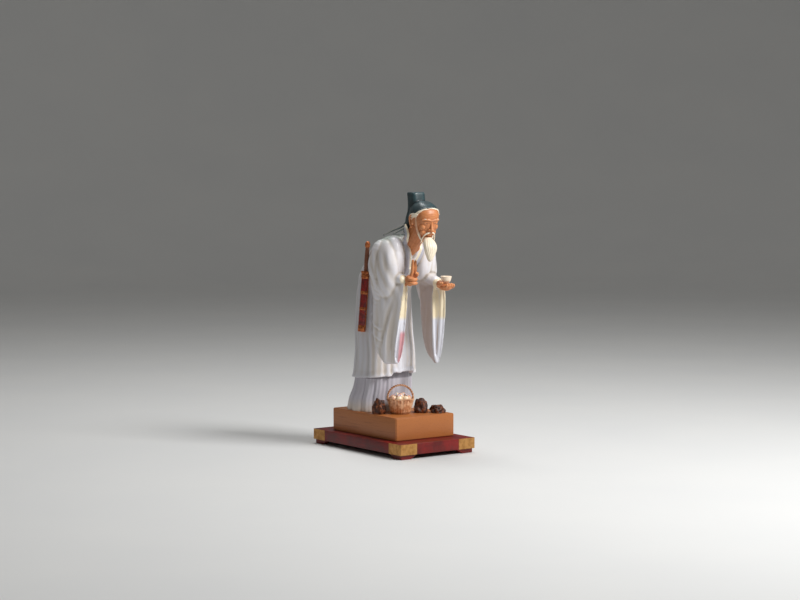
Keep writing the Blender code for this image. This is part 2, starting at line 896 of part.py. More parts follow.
def corner_steps(reach, depth):
    """Outline of the stand with its corners set back by depth for reach along each side."""
    x, y = stand_width / 2 - plate_proud, stand_length / 2 - plate_proud
    quarter = [
        (x, y - reach),
        (x - depth, y - reach),
        (x - depth, y - depth),
        (x - reach, y - depth),
        (x - reach, y),
    ]
    outline = []
    for sx, sy in ((1, 1), (-1, 1), (-1, -1), (1, -1)):
        part = [(sx * px, sy * py) for px, py in quarter]
        outline += part if sx == sy else part[::-1]
    return outline


def foot_gap(span, rise):
    """Side view of the space between two feet: straight top with curved ends."""
    half = span / 2 - foot_reach
    curve = [
        (half + foot_curve * (1 - math.cos(t)), rise * math.cos(t))
        for t in (math.pi / 2 * i / 6 for i in range(7))
    ]
    right = curve + [(curve[-1][0], -0.004)]
    left = [(-x, z) for x, z in reversed(right)]
    return right + left


def bar_through(outline, axis, reach):
    """Solid with the given side view, running through the stand along x or y."""
    bm = bmesh.new()
    prism(bm, outline, -reach, reach)
    if axis == "x":
        turn = Matrix(((0, 0, 1, 0), (1, 0, 0, 0), (0, 1, 0, 0), (0, 0, 0, 1)))
    else:
        turn = Matrix(((1, 0, 0, 0), (0, 0, 1, 0), (0, 1, 0, 0), (0, 0, 0, 1)))
    bmesh.ops.transform(bm, matrix=turn, verts=bm.verts[:])
    return bm


def build_stand():
    lacquer = paint("stand_lacquer", (0.13, 0.010, 0.006), 0.3)
    half_x = stand_width / 2 - foot_inset - plate_thickness
    half_y = stand_length / 2 - foot_inset - plate_thickness
    pocket = plate_thickness + touch - plate_proud
    body = bmesh.new()
    prism(body, corner_steps(plate_reach + touch - plate_proud, pocket), foot_height, stand_height)
    stand = make("stand", body, lacquer)
    plinth = bmesh.new()
    box(plinth, (-half_x, -half_y, 0.0), (half_x, half_y, foot_height + 0.002))
    boolean(stand, make("plinth", plinth, lacquer), "UNION")
    hollow = bmesh.new()
    inner_x, inner_y = half_x - apron_wall, half_y - apron_wall
    box(hollow, (-inner_x, -inner_y, -0.01), (inner_x, inner_y, stand_height - board_thickness))
    boolean(stand, make("hollow", hollow, lacquer), "DIFFERENCE")
    for axis, span in (("x", stand_length), ("y", stand_width)):
        gap = bar_through(foot_gap(span, foot_height), axis, stand_length)
        boolean(stand, make("gap", gap, lacquer), "DIFFERENCE")


def build_plate(name, sx, sy):
    """Brass angle round one corner of the apron."""
    x, y = stand_width / 2, stand_length / 2
    t = plate_thickness
    outline = [
        (x, y - plate_reach),
        (x, y),
        (x - plate_reach, y),
        (x - plate_reach, y - t),
        (x - t, y - t),
        (x - t, y - plate_reach),
    ]
    bm = bmesh.new()
    low, high = foot_height, stand_height
    prism(bm, [(sx * px, sy * py) for px, py in outline], low, high)
    make(name, bm, paint(name + "_brass", (0.36, 0.20, 0.075), 0.4, 0.9))


def start_clean():
    for thing in list(bpy.data.objects):
        bpy.data.objects.remove(thing)


def shade_round():
    """Shades gentle curves smooth and keeps true edges sharp."""
    for thing in bpy.data.objects:
        thing.data.shade_smooth()
        thing.data.set_sharp_from_angle(angle=sharp_from)


start_clean()
build_figure()
build_cup()
build_sword()
build_basket()
build_fruit()
build_rock("rock_near", rock_near_place, rock_near_size, 1.7)
build_rock("rock_front", rock_front_place, rock_front_size, 5.2)
build_rock("rock_side", rock_side_place, rock_side_size, 9.4)
build_block()
build_stand()
for end_name, sy in (("front", -1), ("back", 1)):
    for side_name, sx in (("right", -1), ("left", 1)):
        build_plate(f"plate_{end_name}_{side_name}", sx, sy)
shade_round()
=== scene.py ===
"""Immortal statue: fine shapes, finishes, floor, light and camera.

Metres, +Z up. The figure faces -Y and its left hand is at +X, as in the CAD model.
"""

import json
import math
import random

import bmesh
import bpy
import numpy as np
from mathutils import Matrix, Vector, noise

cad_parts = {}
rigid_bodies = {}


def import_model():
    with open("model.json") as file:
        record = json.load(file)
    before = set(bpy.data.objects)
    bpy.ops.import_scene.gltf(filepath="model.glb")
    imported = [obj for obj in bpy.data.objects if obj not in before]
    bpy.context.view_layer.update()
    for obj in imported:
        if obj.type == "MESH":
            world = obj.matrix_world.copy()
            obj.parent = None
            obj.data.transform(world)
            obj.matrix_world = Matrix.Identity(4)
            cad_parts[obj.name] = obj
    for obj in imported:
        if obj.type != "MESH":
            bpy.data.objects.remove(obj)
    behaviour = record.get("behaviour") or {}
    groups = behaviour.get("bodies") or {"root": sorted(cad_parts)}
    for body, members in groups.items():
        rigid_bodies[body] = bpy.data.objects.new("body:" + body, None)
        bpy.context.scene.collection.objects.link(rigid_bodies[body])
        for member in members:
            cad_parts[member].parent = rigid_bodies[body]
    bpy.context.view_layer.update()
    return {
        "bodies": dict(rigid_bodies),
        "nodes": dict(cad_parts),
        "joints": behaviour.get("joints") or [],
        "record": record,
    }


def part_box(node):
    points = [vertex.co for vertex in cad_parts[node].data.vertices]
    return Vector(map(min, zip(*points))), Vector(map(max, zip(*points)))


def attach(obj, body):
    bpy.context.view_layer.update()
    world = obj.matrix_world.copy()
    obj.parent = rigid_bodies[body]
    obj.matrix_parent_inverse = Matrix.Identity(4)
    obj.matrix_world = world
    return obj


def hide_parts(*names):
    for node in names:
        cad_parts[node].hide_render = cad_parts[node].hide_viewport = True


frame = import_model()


# Stand: a low board with an apron and four short feet, wood under red lacquer.
# The corners are let in for the brass angles, and coats of lacquer round every edge.
stand_edge = 0.0007
brush_mark = 0.0035
lacquer_cloud = 0.03
lacquer_red = (124, 17, 6)
lacquer_dark = (84, 9, 4)


def tint(colour):
    """Linear colour of three values from 0 to 255."""
    return [*((value / 255) ** 2.2 for value in colour), 1.0]


class Link:
    """A socket in a tree of nodes; sums on it add Math nodes."""

    def __init__(self, tree, socket):
        self.tree = tree
        self.socket = socket

    def math(self, operation, *values):
        """Math node on these values."""
        return self.tree.node("ShaderNodeMath", {"operation": operation}, dict(enumerate(values)))

    def __add__(self, other):
        return self.math("ADD", self, other)

    def __radd__(self, other):
        return self.math("ADD", other, self)

    def __sub__(self, other):
        return self.math("SUBTRACT", self, other)

    def __rsub__(self, other):
        return self.math("SUBTRACT", other, self)

    def __mul__(self, other):
        return self.math("MULTIPLY", self, other)

    def __rmul__(self, other):
        return self.math("MULTIPLY", other, self)

    def __truediv__(self, other):
        return self.math("DIVIDE", self, other)

    def between(self, low, high):
        """0 at low, 1 at high, smooth between and held outside."""
        return self.tree.node(
            "ShaderNodeMapRange",
            {"interpolation_type": "SMOOTHSTEP"},
            {"Value": self, "From Min": low, "From Max": high},
        )


class Tree:
    """A tree of nodes that grows from Python expressions."""

    def __init__(self, nodes):
        self.nodes = nodes

    def node(self, kind, settings=None, inputs=None, output=0):
        """Adds a node, with its settings first and then its sockets' values or links."""
        made = self.nodes.nodes.new(kind)
        for name, value in (settings or {}).items():
            setattr(made, name, value)
        for key, value in (inputs or {}).items():
            if isinstance(value, Link):
                self.nodes.links.new(value.socket, made.inputs[key])
            else:
                made.inputs[key].default_value = value
        return Link(self, made.outputs[output])


class Finish(Tree):
    """A material with its colours, gloss and fine relief."""

    def __init__(self, name, fixed):
        self.material = bpy.data.materials.new(name)
        self.material.use_nodes = True
        super().__init__(self.material.node_tree)
        self.shader = self.nodes.nodes["Principled BSDF"]
        for socket, value in fixed.items():
            self.shader.inputs[socket].default_value = value
        self.place = self.node("ShaderNodeTexCoord", output="Object")

    def clouds(self, size, stretch=(1, 1, 1), detail=3.0):
        """Random pattern about size metres across, longer along the stretched axes."""
        scale = [1 / (size * share) for share in stretch]
        moved = self.node("ShaderNodeMapping", {}, {"Vector": self.place, "Scale": scale})
        return self.node("ShaderNodeTexNoise", {}, {"Vector": moved, "Scale": 1.0, "Detail": detail})

    def part(self, axis):
        """One coordinate of the point."""
        return self.node("ShaderNodeSeparateXYZ", {}, {"Vector": self.place}, axis)

    def painted(self, name):
        """Value painted on the mesh under that name."""
        return self.node("ShaderNodeAttribute", {"attribute_name": name}, {}, "Fac")

    def mix(self, share, low, high):
        """Colour from low to high."""
        ends = [end if isinstance(end, Link) else tint(end) for end in (low, high)]
        return self.node("ShaderNodeMix", {"data_type": "RGBA"}, {0: share, 6: ends[0], 7: ends[1]}, 2)

    def give(self, socket, value):
        """Feeds one of the shader's sockets."""
        self.nodes.links.new(value.socket, self.shader.inputs[socket])

    def relief(self, height, depth):
        """Fine relief, depth metres from lowest to highest."""
        bump = self.node("ShaderNodeBump", {}, {"Height": height, "Distance": depth})
        self.give("Normal", bump)


def piece(name, mesh, finish, nodes, crease=None):
    """Object of the statue with its finish, which stands for CAD nodes."""
    thing = bpy.data.objects.new(name, mesh)
    bpy.context.scene.collection.objects.link(thing)
    mesh.materials.clear()
    mesh.materials.append(finish.material)
    mesh.shade_smooth()
    if crease is not None:
        mesh.set_sharp_from_angle(angle=math.radians(crease))
    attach(thing, "root")
    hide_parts(*nodes)
    return thing


def mesh_of(bm, name):
    """Mesh with its faces outward."""
    bmesh.ops.recalc_face_normals(bm, faces=bm.faces[:])
    mesh = bpy.data.meshes.new(name)
    bm.to_mesh(mesh)
    bm.free()
    return mesh


def eased_copy(node, name, edge):
    """Copy of a CAD node in whole faces, with its sharp edges rounded."""
    bm = bmesh.new()
    bm.from_mesh(frame["nodes"][node].data)
    bmesh.ops.remove_doubles(bm, verts=bm.verts[:], dist=1e-6)
    bmesh.ops.dissolve_limit(bm, angle_limit=math.radians(1), verts=bm.verts[:], edges=bm.edges[:])
    sharp = [e for e in bm.edges if e.is_manifold and e.calc_face_angle() > math.radians(30)]
    bmesh.ops.bevel(bm, geom=sharp, offset=edge, segments=2, profile=0.6, affect="EDGES", clamp_overlap=True)
    bmesh.ops.triangulate(bm, faces=bm.faces[:])
    return mesh_of(bm, name)


lacquer = Finish("red_lacquer", {"Roughness": 0.4, "Coat Weight": 0.06, "Coat Roughness": 0.25})
brushed = lacquer.clouds(brush_mark, (1, 14, 1))
cloudy = lacquer.clouds(lacquer_cloud)
worn = (0.35 * brushed + 0.75 * cloudy).between(0.35, 0.75)
lacquer.give("Base Color", lacquer.mix(worn, lacquer_dark, lacquer_red))
lacquer.give("Roughness", 0.38 + 0.2 * cloudy)
lacquer.relief(brushed, 0.00012)
piece("stand_body", eased_copy("stand", "stand_body", stand_edge), lacquer, ["stand"], 35)


# Block: one solid length of hard brown wood, planed, stained and waxed.
# Its grain runs from front to back; the figure stands loose on it.
block_edge = 0.0002
ring_wander = 0.045
grain_width = 0.0022
rings_across = 260
rings_upward = 210
block_light = (184, 114, 60)
block_mid = (156, 92, 48)
block_dark = (118, 64, 32)

waxed = Finish("waxed_wood", {"Roughness": 0.42, "Coat Weight": 0.12, "Coat Roughness": 0.3})
wander_share = waxed.clouds(ring_wander, (1, 5, 1), 2.0)
grain = waxed.clouds(grain_width, (1, 26, 1), 4.0)
ring_phase = waxed.part(0) * rings_across + waxed.part(2) * rings_upward + wander_share * 16
bands = ring_phase.math("SINE") * 0.5 + 0.5
tone = waxed.mix(bands * 0.55 + wander_share * 0.35, block_mid, block_light)
waxed.give("Base Color", waxed.mix(grain.between(0.52, 0.78) * 0.75, tone, block_dark))
waxed.give("Roughness", 0.34 + 0.22 * grain)
waxed.relief(grain, 0.0002)
piece("block_body", eased_copy("block", "block_body", block_edge), waxed, ["block"], 40)


# Corner plates: four angles of sheet brass let into the apron, each held by small domed nails.
# The brass has dulled to brown in patches.
plate_reach = 0.043
plate_thickness = 0.0012
nail_radius = 0.0014
nail_rise = 0.0004
nail_places = (0.009, 0.034)
nail_heights = (0.3, 0.7)
plate_edge = 0.0003
stain_size = 0.009
brass_bright = (200, 150, 90)
brass_dull = (176, 126, 72)


class Growth(Tree):
    """A Geometry Nodes tree with named sizes."""

    def __init__(self, name, sizes):
        group = bpy.data.node_groups.new(name, "GeometryNodeTree")
        super().__init__(group)
        self.sizes = sizes
        self.keys = {}
        group.interface.new_socket("Start", in_out="INPUT", socket_type="NodeSocketGeometry")
        group.interface.new_socket("Result", in_out="OUTPUT", socket_type="NodeSocketGeometry")
        for size, value in sizes.items():
            kind = "NodeSocketInt" if isinstance(value, int) else "NodeSocketFloat"
            socket = group.interface.new_socket(size, in_out="INPUT", socket_type=kind)
            self.keys[size] = socket.identifier
        self.start = group.nodes.new("NodeGroupInput")

    def size(self, name):
        """One of the tree's named sizes."""
        return Link(self, self.start.outputs[name])

    def geometry(self):
        """The start object's own geometry."""
        return Link(self, self.start.outputs["Start"])

    def xyz(self, x, y, z):
        """Vector of three values or links."""
        return self.node("ShaderNodeCombineXYZ", {}, {0: x, 1: y, 2: z})

    def set_on_points(self, points, thing, more):
        """Copies of a thing on points, each turned the way that its point faces."""
        vector = {"data_type": "FLOAT_VECTOR"}
        facing = self.node("GeometryNodeInputNamedAttribute", vector, {"Name": "facing"})
        turned_out = self.node("FunctionNodeAlignRotationToVector", {"axis": "Z"}, {"Vector": facing})
        sockets = {"Points": points, "Instance": thing, "Rotation": turned_out, **more}
        return self.node("GeometryNodeInstanceOnPoints", {}, sockets)

    def finished(self, result, finish):
        """Ends the tree with real faces and the piece's material."""
        real = self.node("GeometryNodeRealizeInstances", {}, {"Geometry": result})
        smooth = self.node("GeometryNodeSetShadeSmooth", {}, {"Geometry": real})
        done = self.node("GeometryNodeSetMaterial", {}, {"Geometry": smooth, "Material": finish.material})
        end = self.nodes.nodes.new("NodeGroupOutput")
        self.nodes.links.new(done.socket, end.inputs["Result"])

    def grown(self, name, start):
        """Plain mesh that the tree makes from a start object."""
        modifier = start.modifiers.new("grow", "NODES")
        modifier.node_group = self.nodes
        for size, value in self.sizes.items():
            modifier[self.keys[size]] = value
        bpy.context.view_layer.update()
        seen = start.evaluated_get(bpy.context.evaluated_depsgraph_get())
        mesh = bpy.data.meshes.new_from_object(seen)
        mesh.name = name
        start.modifiers.clear()
        bpy.data.objects.remove(start)
        return mesh


def start_object(bm):
    """Bare object that a tree grows from."""
    mesh = bpy.data.meshes.new("start")
    bm.to_mesh(mesh)
    bm.free()
    thing = bpy.data.objects.new("start", mesh)
    bpy.context.scene.collection.objects.link(thing)
    return thing


def aimed_points(spots, aims):
    """Bare points that a tree grows from, each with the direction that it faces."""
    bm = bmesh.new()
    for spot in spots:
        bm.verts.new(spot)
    thing = start_object(bm)
    facing = thing.data.attributes.new("facing", "FLOAT_VECTOR", "POINT")
    facing.data.foreach_set("vector", [value for aim in aims for value in aim])
    return thing


def prism(bm, outline, low, high):
    """Flat outline carried straight up from one height to another."""
    floor = [bm.verts.new((x, y, low)) for x, y in outline]
    roof = [bm.verts.new((x, y, high)) for x, y in outline]
    bm.faces.new(floor)
    bm.faces.new(roof)
    for i in range(len(outline)):
        j = (i + 1) % len(outline)
        bm.faces.new((floor[i], floor[j], roof[j], roof[i]))


brass = Finish("aged_brass", {"Metallic": 0.75, "Roughness": 0.45})
stain = brass.clouds(stain_size, detail=5.0)
brass.give("Base Color", brass.mix(stain.between(0.38, 0.68), brass_bright, brass_dull))
brass.give("Roughness", 0.4 + 0.25 * stain)
brass.relief(stain, 0.00015)

nail_tree = Growth("corner_nails", {"Radius": nail_radius, "Rise": nail_rise})
dome = nail_tree.node("GeometryNodeMeshUVSphere", {}, {"Segments": 16, "Rings": 8, "Radius": 1.0})
squash = nail_tree.xyz(nail_tree.size("Radius"), nail_tree.size("Radius"), nail_tree.size("Rise"))
nail_tree.finished(nail_tree.set_on_points(nail_tree.geometry(), dome, {"Scale": squash}), brass)

for end_name, sy in (("front", -1), ("back", 1)):
    for side_name, sx in (("right", -1), ("left", 1)):
        node = f"plate_{end_name}_{side_name}"
        low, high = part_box(node)
        x = max(abs(low.x), abs(high.x)) - nail_rise
        y = max(abs(low.y), abs(high.y)) - nail_rise
        t = plate_thickness - nail_rise
        outline = [
            (x, y - plate_reach),
            (x, y),
            (x - plate_reach, y),
            (x - plate_reach, y - t),
            (x - t, y - t),
            (x - t, y - plate_reach),
        ]
        plate = bmesh.new()
        prism(plate, [(sx * px, sy * py) for px, py in outline], low.z, high.z)
        bmesh.ops.recalc_face_normals(plate, faces=plate.faces[:])
        bmesh.ops.bevel(plate, geom=plate.edges[:], offset=plate_edge, segments=2, affect="EDGES")
        nail_spots = []
        for from_corner in nail_places:
            for share in nail_heights:
                z = low.z + (high.z - low.z) * share
                nail_spots += [(sx * x, sy * (y - from_corner), z), (sx * (x - from_corner), sy * y, z)]
        nail_aims = [(sx, 0, 0), (0, sy, 0)] * (len(nail_spots) // 2)
        plate.from_mesh(nail_tree.grown("nails", aimed_points(nail_spots, nail_aims)))
        piece(node + "_brass", mesh_of(plate, node + "_brass"), brass, [node], 35)


# Rocks: lumps of coarse dark clay set beside the basket, torn rather than smoothed.
# They are fired bare, with a thin wash of brown.
rock_places = {
    "rock_near": ((-0.060, -0.032), (0.027, 0.029, 0.034), 1.7),
    "rock_front": ((0.0255, -0.066), (0.028, 0.032, 0.031), 5.2),
    "rock_side": ((0.055, -0.088), (0.034, 0.034, 0.018), 9.4),
}
rock_sink = 0.30
rock_swell = 0.30
rock_ledge = 0.12
rock_crag = 0.035
rock_grit = 0.0016
rock_mottle = 0.007
rock_light = (128, 70, 36)
rock_dark = (56, 28, 15)


def flat_foot(bm, height):
    """Cuts everything under a height away and closes the cut."""
    cut = bmesh.ops.bisect_plane(
        bm,
        geom=bm.verts[:] + bm.edges[:] + bm.faces[:],
        plane_co=(0, 0, height),
        plane_no=(0, 0, 1),
        clear_inner=True,
    )
    edges = [e for e in cut["geom_cut"] if isinstance(e, bmesh.types.BMEdge)]
    bmesh.ops.edgeloop_fill(bm, edges=edges)


rough_clay = Finish("torn_clay", {"Roughness": 0.6})
lumps = rough_clay.clouds(rock_mottle, detail=6.0)
rough_clay.give("Base Color", rough_clay.mix(lumps.between(0.42, 0.68), rock_dark, rock_light))
rough_clay.give("Roughness", 0.42 + 0.35 * lumps)
rough_clay.relief(rough_clay.clouds(rock_grit, detail=5.0), 0.0004)

for node, (spot, size, seed) in rock_places.items():
    rock = bmesh.new()
    bmesh.ops.create_icosphere(rock, subdivisions=6, radius=0.5)
    for v in rock.verts:
        lump = noise.noise(v.co * 3.1 + Vector((seed, 0, 0)))
        ledge = noise.noise(v.co * 7.0 + Vector((0, seed, 0)))
        crag = noise.ridged_multi_fractal(v.co * 5.0 + Vector((0, 0, seed)), 0.9, 2.2, 5, 1.0, 2.0)
        v.co *= 1 + rock_swell * lump + rock_ledge * ledge - rock_crag * (crag - 0.4)
        v.co.x *= size[0]
        v.co.y *= size[1]
        v.co.z = (v.co.z + 0.5 - rock_sink) * size[2] / (1 - rock_sink)
    flat_foot(rock, 0.0)
    bmesh.ops.translate(rock, vec=(*spot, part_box(node)[0].z), verts=rock.verts[:])
    piece(node + "_lump", mesh_of(rock, node + "_lump"), rough_clay, [node])


# Basket: rolled strips of clay woven round upright stakes over a thin wall, with a plaited rim
# and a twisted handle, under a thin straw coloured glaze.
basket_x = -0.019
basket_y = -0.0530
basket_turn = math.radians(-32)
basket_rim_radius = 0.0290
basket_foot_radius = 0.0200
basket_height = 0.0330
basket_wall = 0.0024
basket_floor = 0.0030
handle_rise = 0.0310
handle_radius = 0.0025
strand_radius = 0.00125
weave_depth = 0.0007
weave_rows = 12
weave_stakes = 26
weave_swell = 0.20
hoop_strand = 0.0007
hoop_twist = 0.0006
hoop_twists = 24
handle_twists = 9
axis_gap = 0.0005
straw_mottle = 0.009
straw_grain = 0.0012
straw_light = (232, 184, 144)
straw_dark = (196, 134, 92)
straw_brown = (150, 92, 50)


def soft(value, power):
    """Signed power, for rounded boxes."""
    return math.copysign(abs(value) ** power, value)


def turns(count):
    """Even angles round a full turn."""
    return [2 * math.pi * i / count for i in range(count)]


def circle(radius, height, sides, start=0.0):
    """Points round the upright axis."""
    angles = [t + start for t in turns(sides)]
    return [Vector((radius * math.cos(t), radius * math.sin(t), height)) for t in angles]


def rounded(sides, corner):
    """Points of a square with round corners, half a width of one."""
    return [(soft(math.cos(t), corner), soft(math.sin(t), corner)) for t in turns(sides)]


def along(rows, t):
    """Smooth curve through rows of (t, value, value...)."""
    if t <= rows[0][0]:
        return rows[0][1:]
    if t >= rows[-1][0]:
        return rows[-1][1:]
    k = max(i for i in range(len(rows) - 1) if rows[i][0] <= t)
    low, high = rows[k], rows[k + 1]
    before = rows[max(k - 1, 0)]
    after = rows[min(k + 2, len(rows) - 1)]
    span = high[0] - low[0]
    u = (t - low[0]) / span
    values = []
    for i in range(1, len(low)):
        slope_low = (high[i] - before[i]) / (high[0] - before[0]) * span
        slope_high = (after[i] - low[i]) / (after[0] - low[0]) * span
        values.append(
            low[i] * (2 * u**3 - 3 * u**2 + 1)
            + slope_low * (u**3 - 2 * u**2 + u)
            + high[i] * (3 * u**2 - 2 * u**3)
            + slope_high * (u**3 - u**2)
        )
    return values


def rows_of(bm, rings):
    """Rows of vertices from rings of points."""
    return [[bm.verts.new(point) for point in ring] for ring in rings]


def wall(bm, rows):
    """Faces from each row of vertices to the next."""
    for low, high in zip(rows, rows[1:]):
        for i in range(len(low)):
            j = (i + 1) % len(low)
            bm.faces.new((low[i], low[j], high[j], high[i]))


def loft(bm, rings):
    """Closed body over rings of points, with a fan over each end."""
    rows = rows_of(bm, rings)
    wall(bm, rows)
    for row in (rows[0], rows[-1]):
        middle = bm.verts.new(sum((v.co for v in row), Vector()) / len(row))
        for i in range(len(row)):
            bm.faces.new((row[i], row[(i + 1) % len(row)], middle))


def tube(bm, points, frame=Matrix(), flat=1.0, sides=20, steps=8):
    """Round-ended tube through (x, y, z, radius) points; flat squeezes it across."""
    rows = [(i, *point) for i, point in enumerate(points)]
    count = (len(points) - 1) * steps
    path = [along(rows, i / steps) for i in range(count + 1)]
    spine = [frame @ Vector(p[:3]) for p in path]
    rings = []
    side = None
    for i, centre in enumerate(spine):
        ahead = (spine[min(i + 1, count)] - spine[max(i - 1, 0)]).normalized()
        if side is None:
            side = ahead.cross(Vector((0, 0, 1)))
            if side.length < 0.2:
                side = ahead.cross(Vector((0, 1, 0)))
        side = (side - ahead * side.dot(ahead)).normalized()
        up = ahead.cross(side)
        radius = path[i][3]
        shifts = [(0.0, 1.0)]
        if i == 0:
            shifts = [(-0.9, 0.3), (-0.7, 0.66), (-0.4, 0.9), (0.0, 1.0)]
        if i == count:
            shifts = [(0.0, 1.0), (0.4, 0.9), (0.7, 0.66), (0.9, 0.3)]
        for shift, share in shifts:
            middle = centre + ahead * shift * radius * flat
            rings.append(
                [
                    middle
                    + side * math.cos(t) * radius * share
                    + up * math.sin(t) * radius * share * flat
                    for t in turns(sides)
                ]
            )
    loft(bm, rings)


def turned(bm, profile, sides, place):
    """Body of revolution from (radius, height) points; it starts and ends on the axis."""
    loft(bm, [[place @ point for point in circle(radius, height, sides)] for radius, height in profile])


def basket_radius(height):
    """Outside radius of the basket at a height over its foot."""
    share = height / basket_height
    swell = weave_swell * math.sin(math.pi * share)
    return basket_foot_radius + (basket_rim_radius - basket_foot_radius) * (share + swell)


def twisted(bm, path, radius, strand, twists, place, closed):
    """Two strands laid round each other along a path of (centre, side, up) frames."""
    for start in (0.0, math.pi):
        rings = []
        for i, (centre, side, up) in enumerate(path):
            t = start + 2 * math.pi * twists * i / (len(path) - (0 if closed else 1))
            core = centre + (side * math.cos(t) + up * math.sin(t)) * radius
            ring = [core + (side * math.cos(a) + up * math.sin(a)) * strand for a in turns(10)]
            rings.append([place @ point for point in ring])
        if closed:
            rows = rows_of(bm, rings)
            wall(bm, rows + rows[:1])
        else:
            loft(bm, rings)


basket_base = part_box("basket")[0].z
basket_place = Matrix.Translation((basket_x, basket_y, basket_base))
basket_place @= Matrix.Rotation(basket_turn, 4, "Z")

straw = Finish("straw_glaze", {"Roughness": 0.35, "Coat Weight": 0.4, "Coat Roughness": 0.15})
mottled = straw.clouds(straw_mottle, detail=2.0)
straw_height = straw.part(2) - basket_base
bare_foot = 1 - straw_height.between(0.0015, 0.006)
bare_handle = straw_height.between(basket_height - 0.003, basket_height + 0.001)
straw_tone = straw.mix(mottled.between(0.4, 0.62), straw_light, straw_dark)
straw_tone = straw.mix(bare_handle * 0.55, straw_tone, straw_brown)
straw.give("Base Color", straw.mix(bare_foot * 0.85, straw_tone, straw_brown))
straw.give("Roughness", 0.28 + 0.25 * mottled)
straw.relief(straw.clouds(straw_grain), 0.00015)

weave = Growth(
    "woven_wall",
    {
        "Rows": weave_rows,
        "Stakes": weave_stakes,
        "Height": basket_height - 0.002,
        "Foot": basket_foot_radius - strand_radius,
        "Rim": basket_rim_radius - strand_radius,
        "Strand": strand_radius,
        "Depth": weave_depth,
    },
)


def weave_radius(share):
    """Radius of the wall's middle at a share of its height."""
    bulge = (share * math.pi).math("SINE") * weave_swell
    return weave.size("Foot") + (weave.size("Rim") - weave.size("Foot")) * (share + bulge)


def weave_tube(curve, radius):
    """Round strip of clay along a curve."""
    round_strip = weave.node("GeometryNodeCurvePrimitiveCircle", {}, {"Resolution": 8, "Radius": radius})
    return weave.node(
        "GeometryNodeCurveToMesh", {}, {"Curve": curve, "Profile Curve": round_strip, "Fill Caps": True}
    )


rows_line = weave.node("GeometryNodeMeshLine", {}, {"Count": weave.size("Rows"), "Offset": (0.0, 0.0, 1.0)})
hoop = weave.node("GeometryNodeCurvePrimitiveCircle", {}, {"Resolution": weave_stakes * 6, "Radius": 1.0})
hoops = weave.node("GeometryNodeInstanceOnPoints", {}, {"Points": rows_line, "Instance": hoop})
hoops = weave.node("GeometryNodeRealizeInstances", {}, {"Geometry": hoops})
at = weave.node("GeometryNodeInputPosition")
parts = [weave.node("ShaderNodeSeparateXYZ", {}, {"Vector": at}, axis) for axis in range(3)]
angle = parts[1].math("ARCTAN2", parts[1], parts[0])
row_share = (parts[2] + 0.5) / weave.size("Rows")
ripple = (angle * weave.size("Stakes") * 0.5 + parts[2] * math.pi).math("COSINE")
hoop_radius = weave_radius(row_share) + ripple * weave.size("Depth")
hoop_spot = weave.xyz(
    angle.math("COSINE") * hoop_radius,
    angle.math("SINE") * hoop_radius,
    row_share * weave.size("Height"),
)
hoops = weave.node("GeometryNodeSetPosition", {}, {"Geometry": hoops, "Position": hoop_spot})
stake = weave.node("GeometryNodeCurvePrimitiveLine", {}, {"Start": (0, 0, 0), "End": (0, 0, 1)})
stake = weave.node("GeometryNodeResampleCurve", {}, {"Curve": stake, "Count": 12})
stake_spot = weave.xyz(weave_radius(parts[2]), 0.0, parts[2] * weave.size("Height"))
stake = weave.node("GeometryNodeSetPosition", {}, {"Geometry": stake, "Position": stake_spot})
ring_points = weave.node("GeometryNodeMeshCircle", {}, {"Vertices": weave.size("Stakes"), "Radius": 0.00001})
number = weave.node("GeometryNodeInputIndex")
stake_turn = weave.xyz(0.0, 0.0, (number + 0.5) * (2 * math.pi) / weave.size("Stakes"))
stakes = weave.node(
    "GeometryNodeInstanceOnPoints",
    {},
    {"Points": ring_points, "Instance": stake, "Rotation": stake_turn},
)
stakes = weave.node("GeometryNodeRealizeInstances", {}, {"Geometry": stakes})
both = weave.node("GeometryNodeJoinGeometry", {}, {"Geometry": weave_tube(hoops, weave.size("Strand"))})
weave.nodes.links.new(weave_tube(stakes, weave.size("Strand") * 0.8).socket, both.socket.node.inputs[0])
weave.finished(both, straw)

basket = bmesh.new()
basket.from_mesh(weave.grown("weave", start_object(bmesh.new())))
for v in basket.verts:
    v.co = basket_place @ v.co
heights = [basket_height * i / 10 for i in range(11)]
shell = [(axis_gap, 0.0)] + [(basket_radius(h) - strand_radius, h) for h in heights]
inside = [(basket_radius(h) - basket_wall, h) for h in reversed(heights) if h > basket_floor]
turned(basket, shell + inside + [(axis_gap, basket_floor)], 96, basket_place)
foot_hoop = (0.0012, basket_foot_radius - 0.001)
rim_hoop = (basket_height - 0.0014, basket_rim_radius - 0.0012)
for height, radius in (foot_hoop, rim_hoop):
    hoop_path = [
        (
            Vector((radius * math.cos(t), radius * math.sin(t), height)),
            Vector((math.cos(t), math.sin(t), 0)),
            Vector((0, 0, 1)),
        )
        for t in turns(240)
    ]
    twisted(basket, hoop_path, hoop_twist, hoop_strand, hoop_twists, basket_place, True)
arch_path = []
arch_radius = basket_rim_radius - basket_wall / 2
for i in range(97):
    t = math.pi * i / 96
    rise = (handle_rise + 0.001) * soft(math.sin(t), 0.85)
    spot = Vector((arch_radius * math.cos(t), 0, basket_height - 0.004 + rise))
    arch_path.append((spot, Vector((math.cos(t), 0, math.sin(t))), Vector((0, 1, 0))))
strand = handle_radius * 0.58
twisted(basket, arch_path, handle_radius * 0.45, strand, handle_twists, basket_place, False)
piece("basket_weave", mesh_of(basket, "basket_weave"), straw, ["basket"])


# Fruit: a heap of thrown peaches with pressed clefts, pale glaze with a pink blush,
# and small blossoms pinched from white and pale blue clay between them.
fruit_radius = 0.0078
fruit_fit = 0.0006
blossom_count = 9
petal_count = 5
petal_length = 0.0038
peach_cleft = 0.13
peach_tip = 0.10
blush_size = 0.011
peach_pale = (246, 220, 184)
peach_blush = (226, 158, 130)
blossom_pink = (236, 190, 192)
blossom_blue = (186, 202, 218)


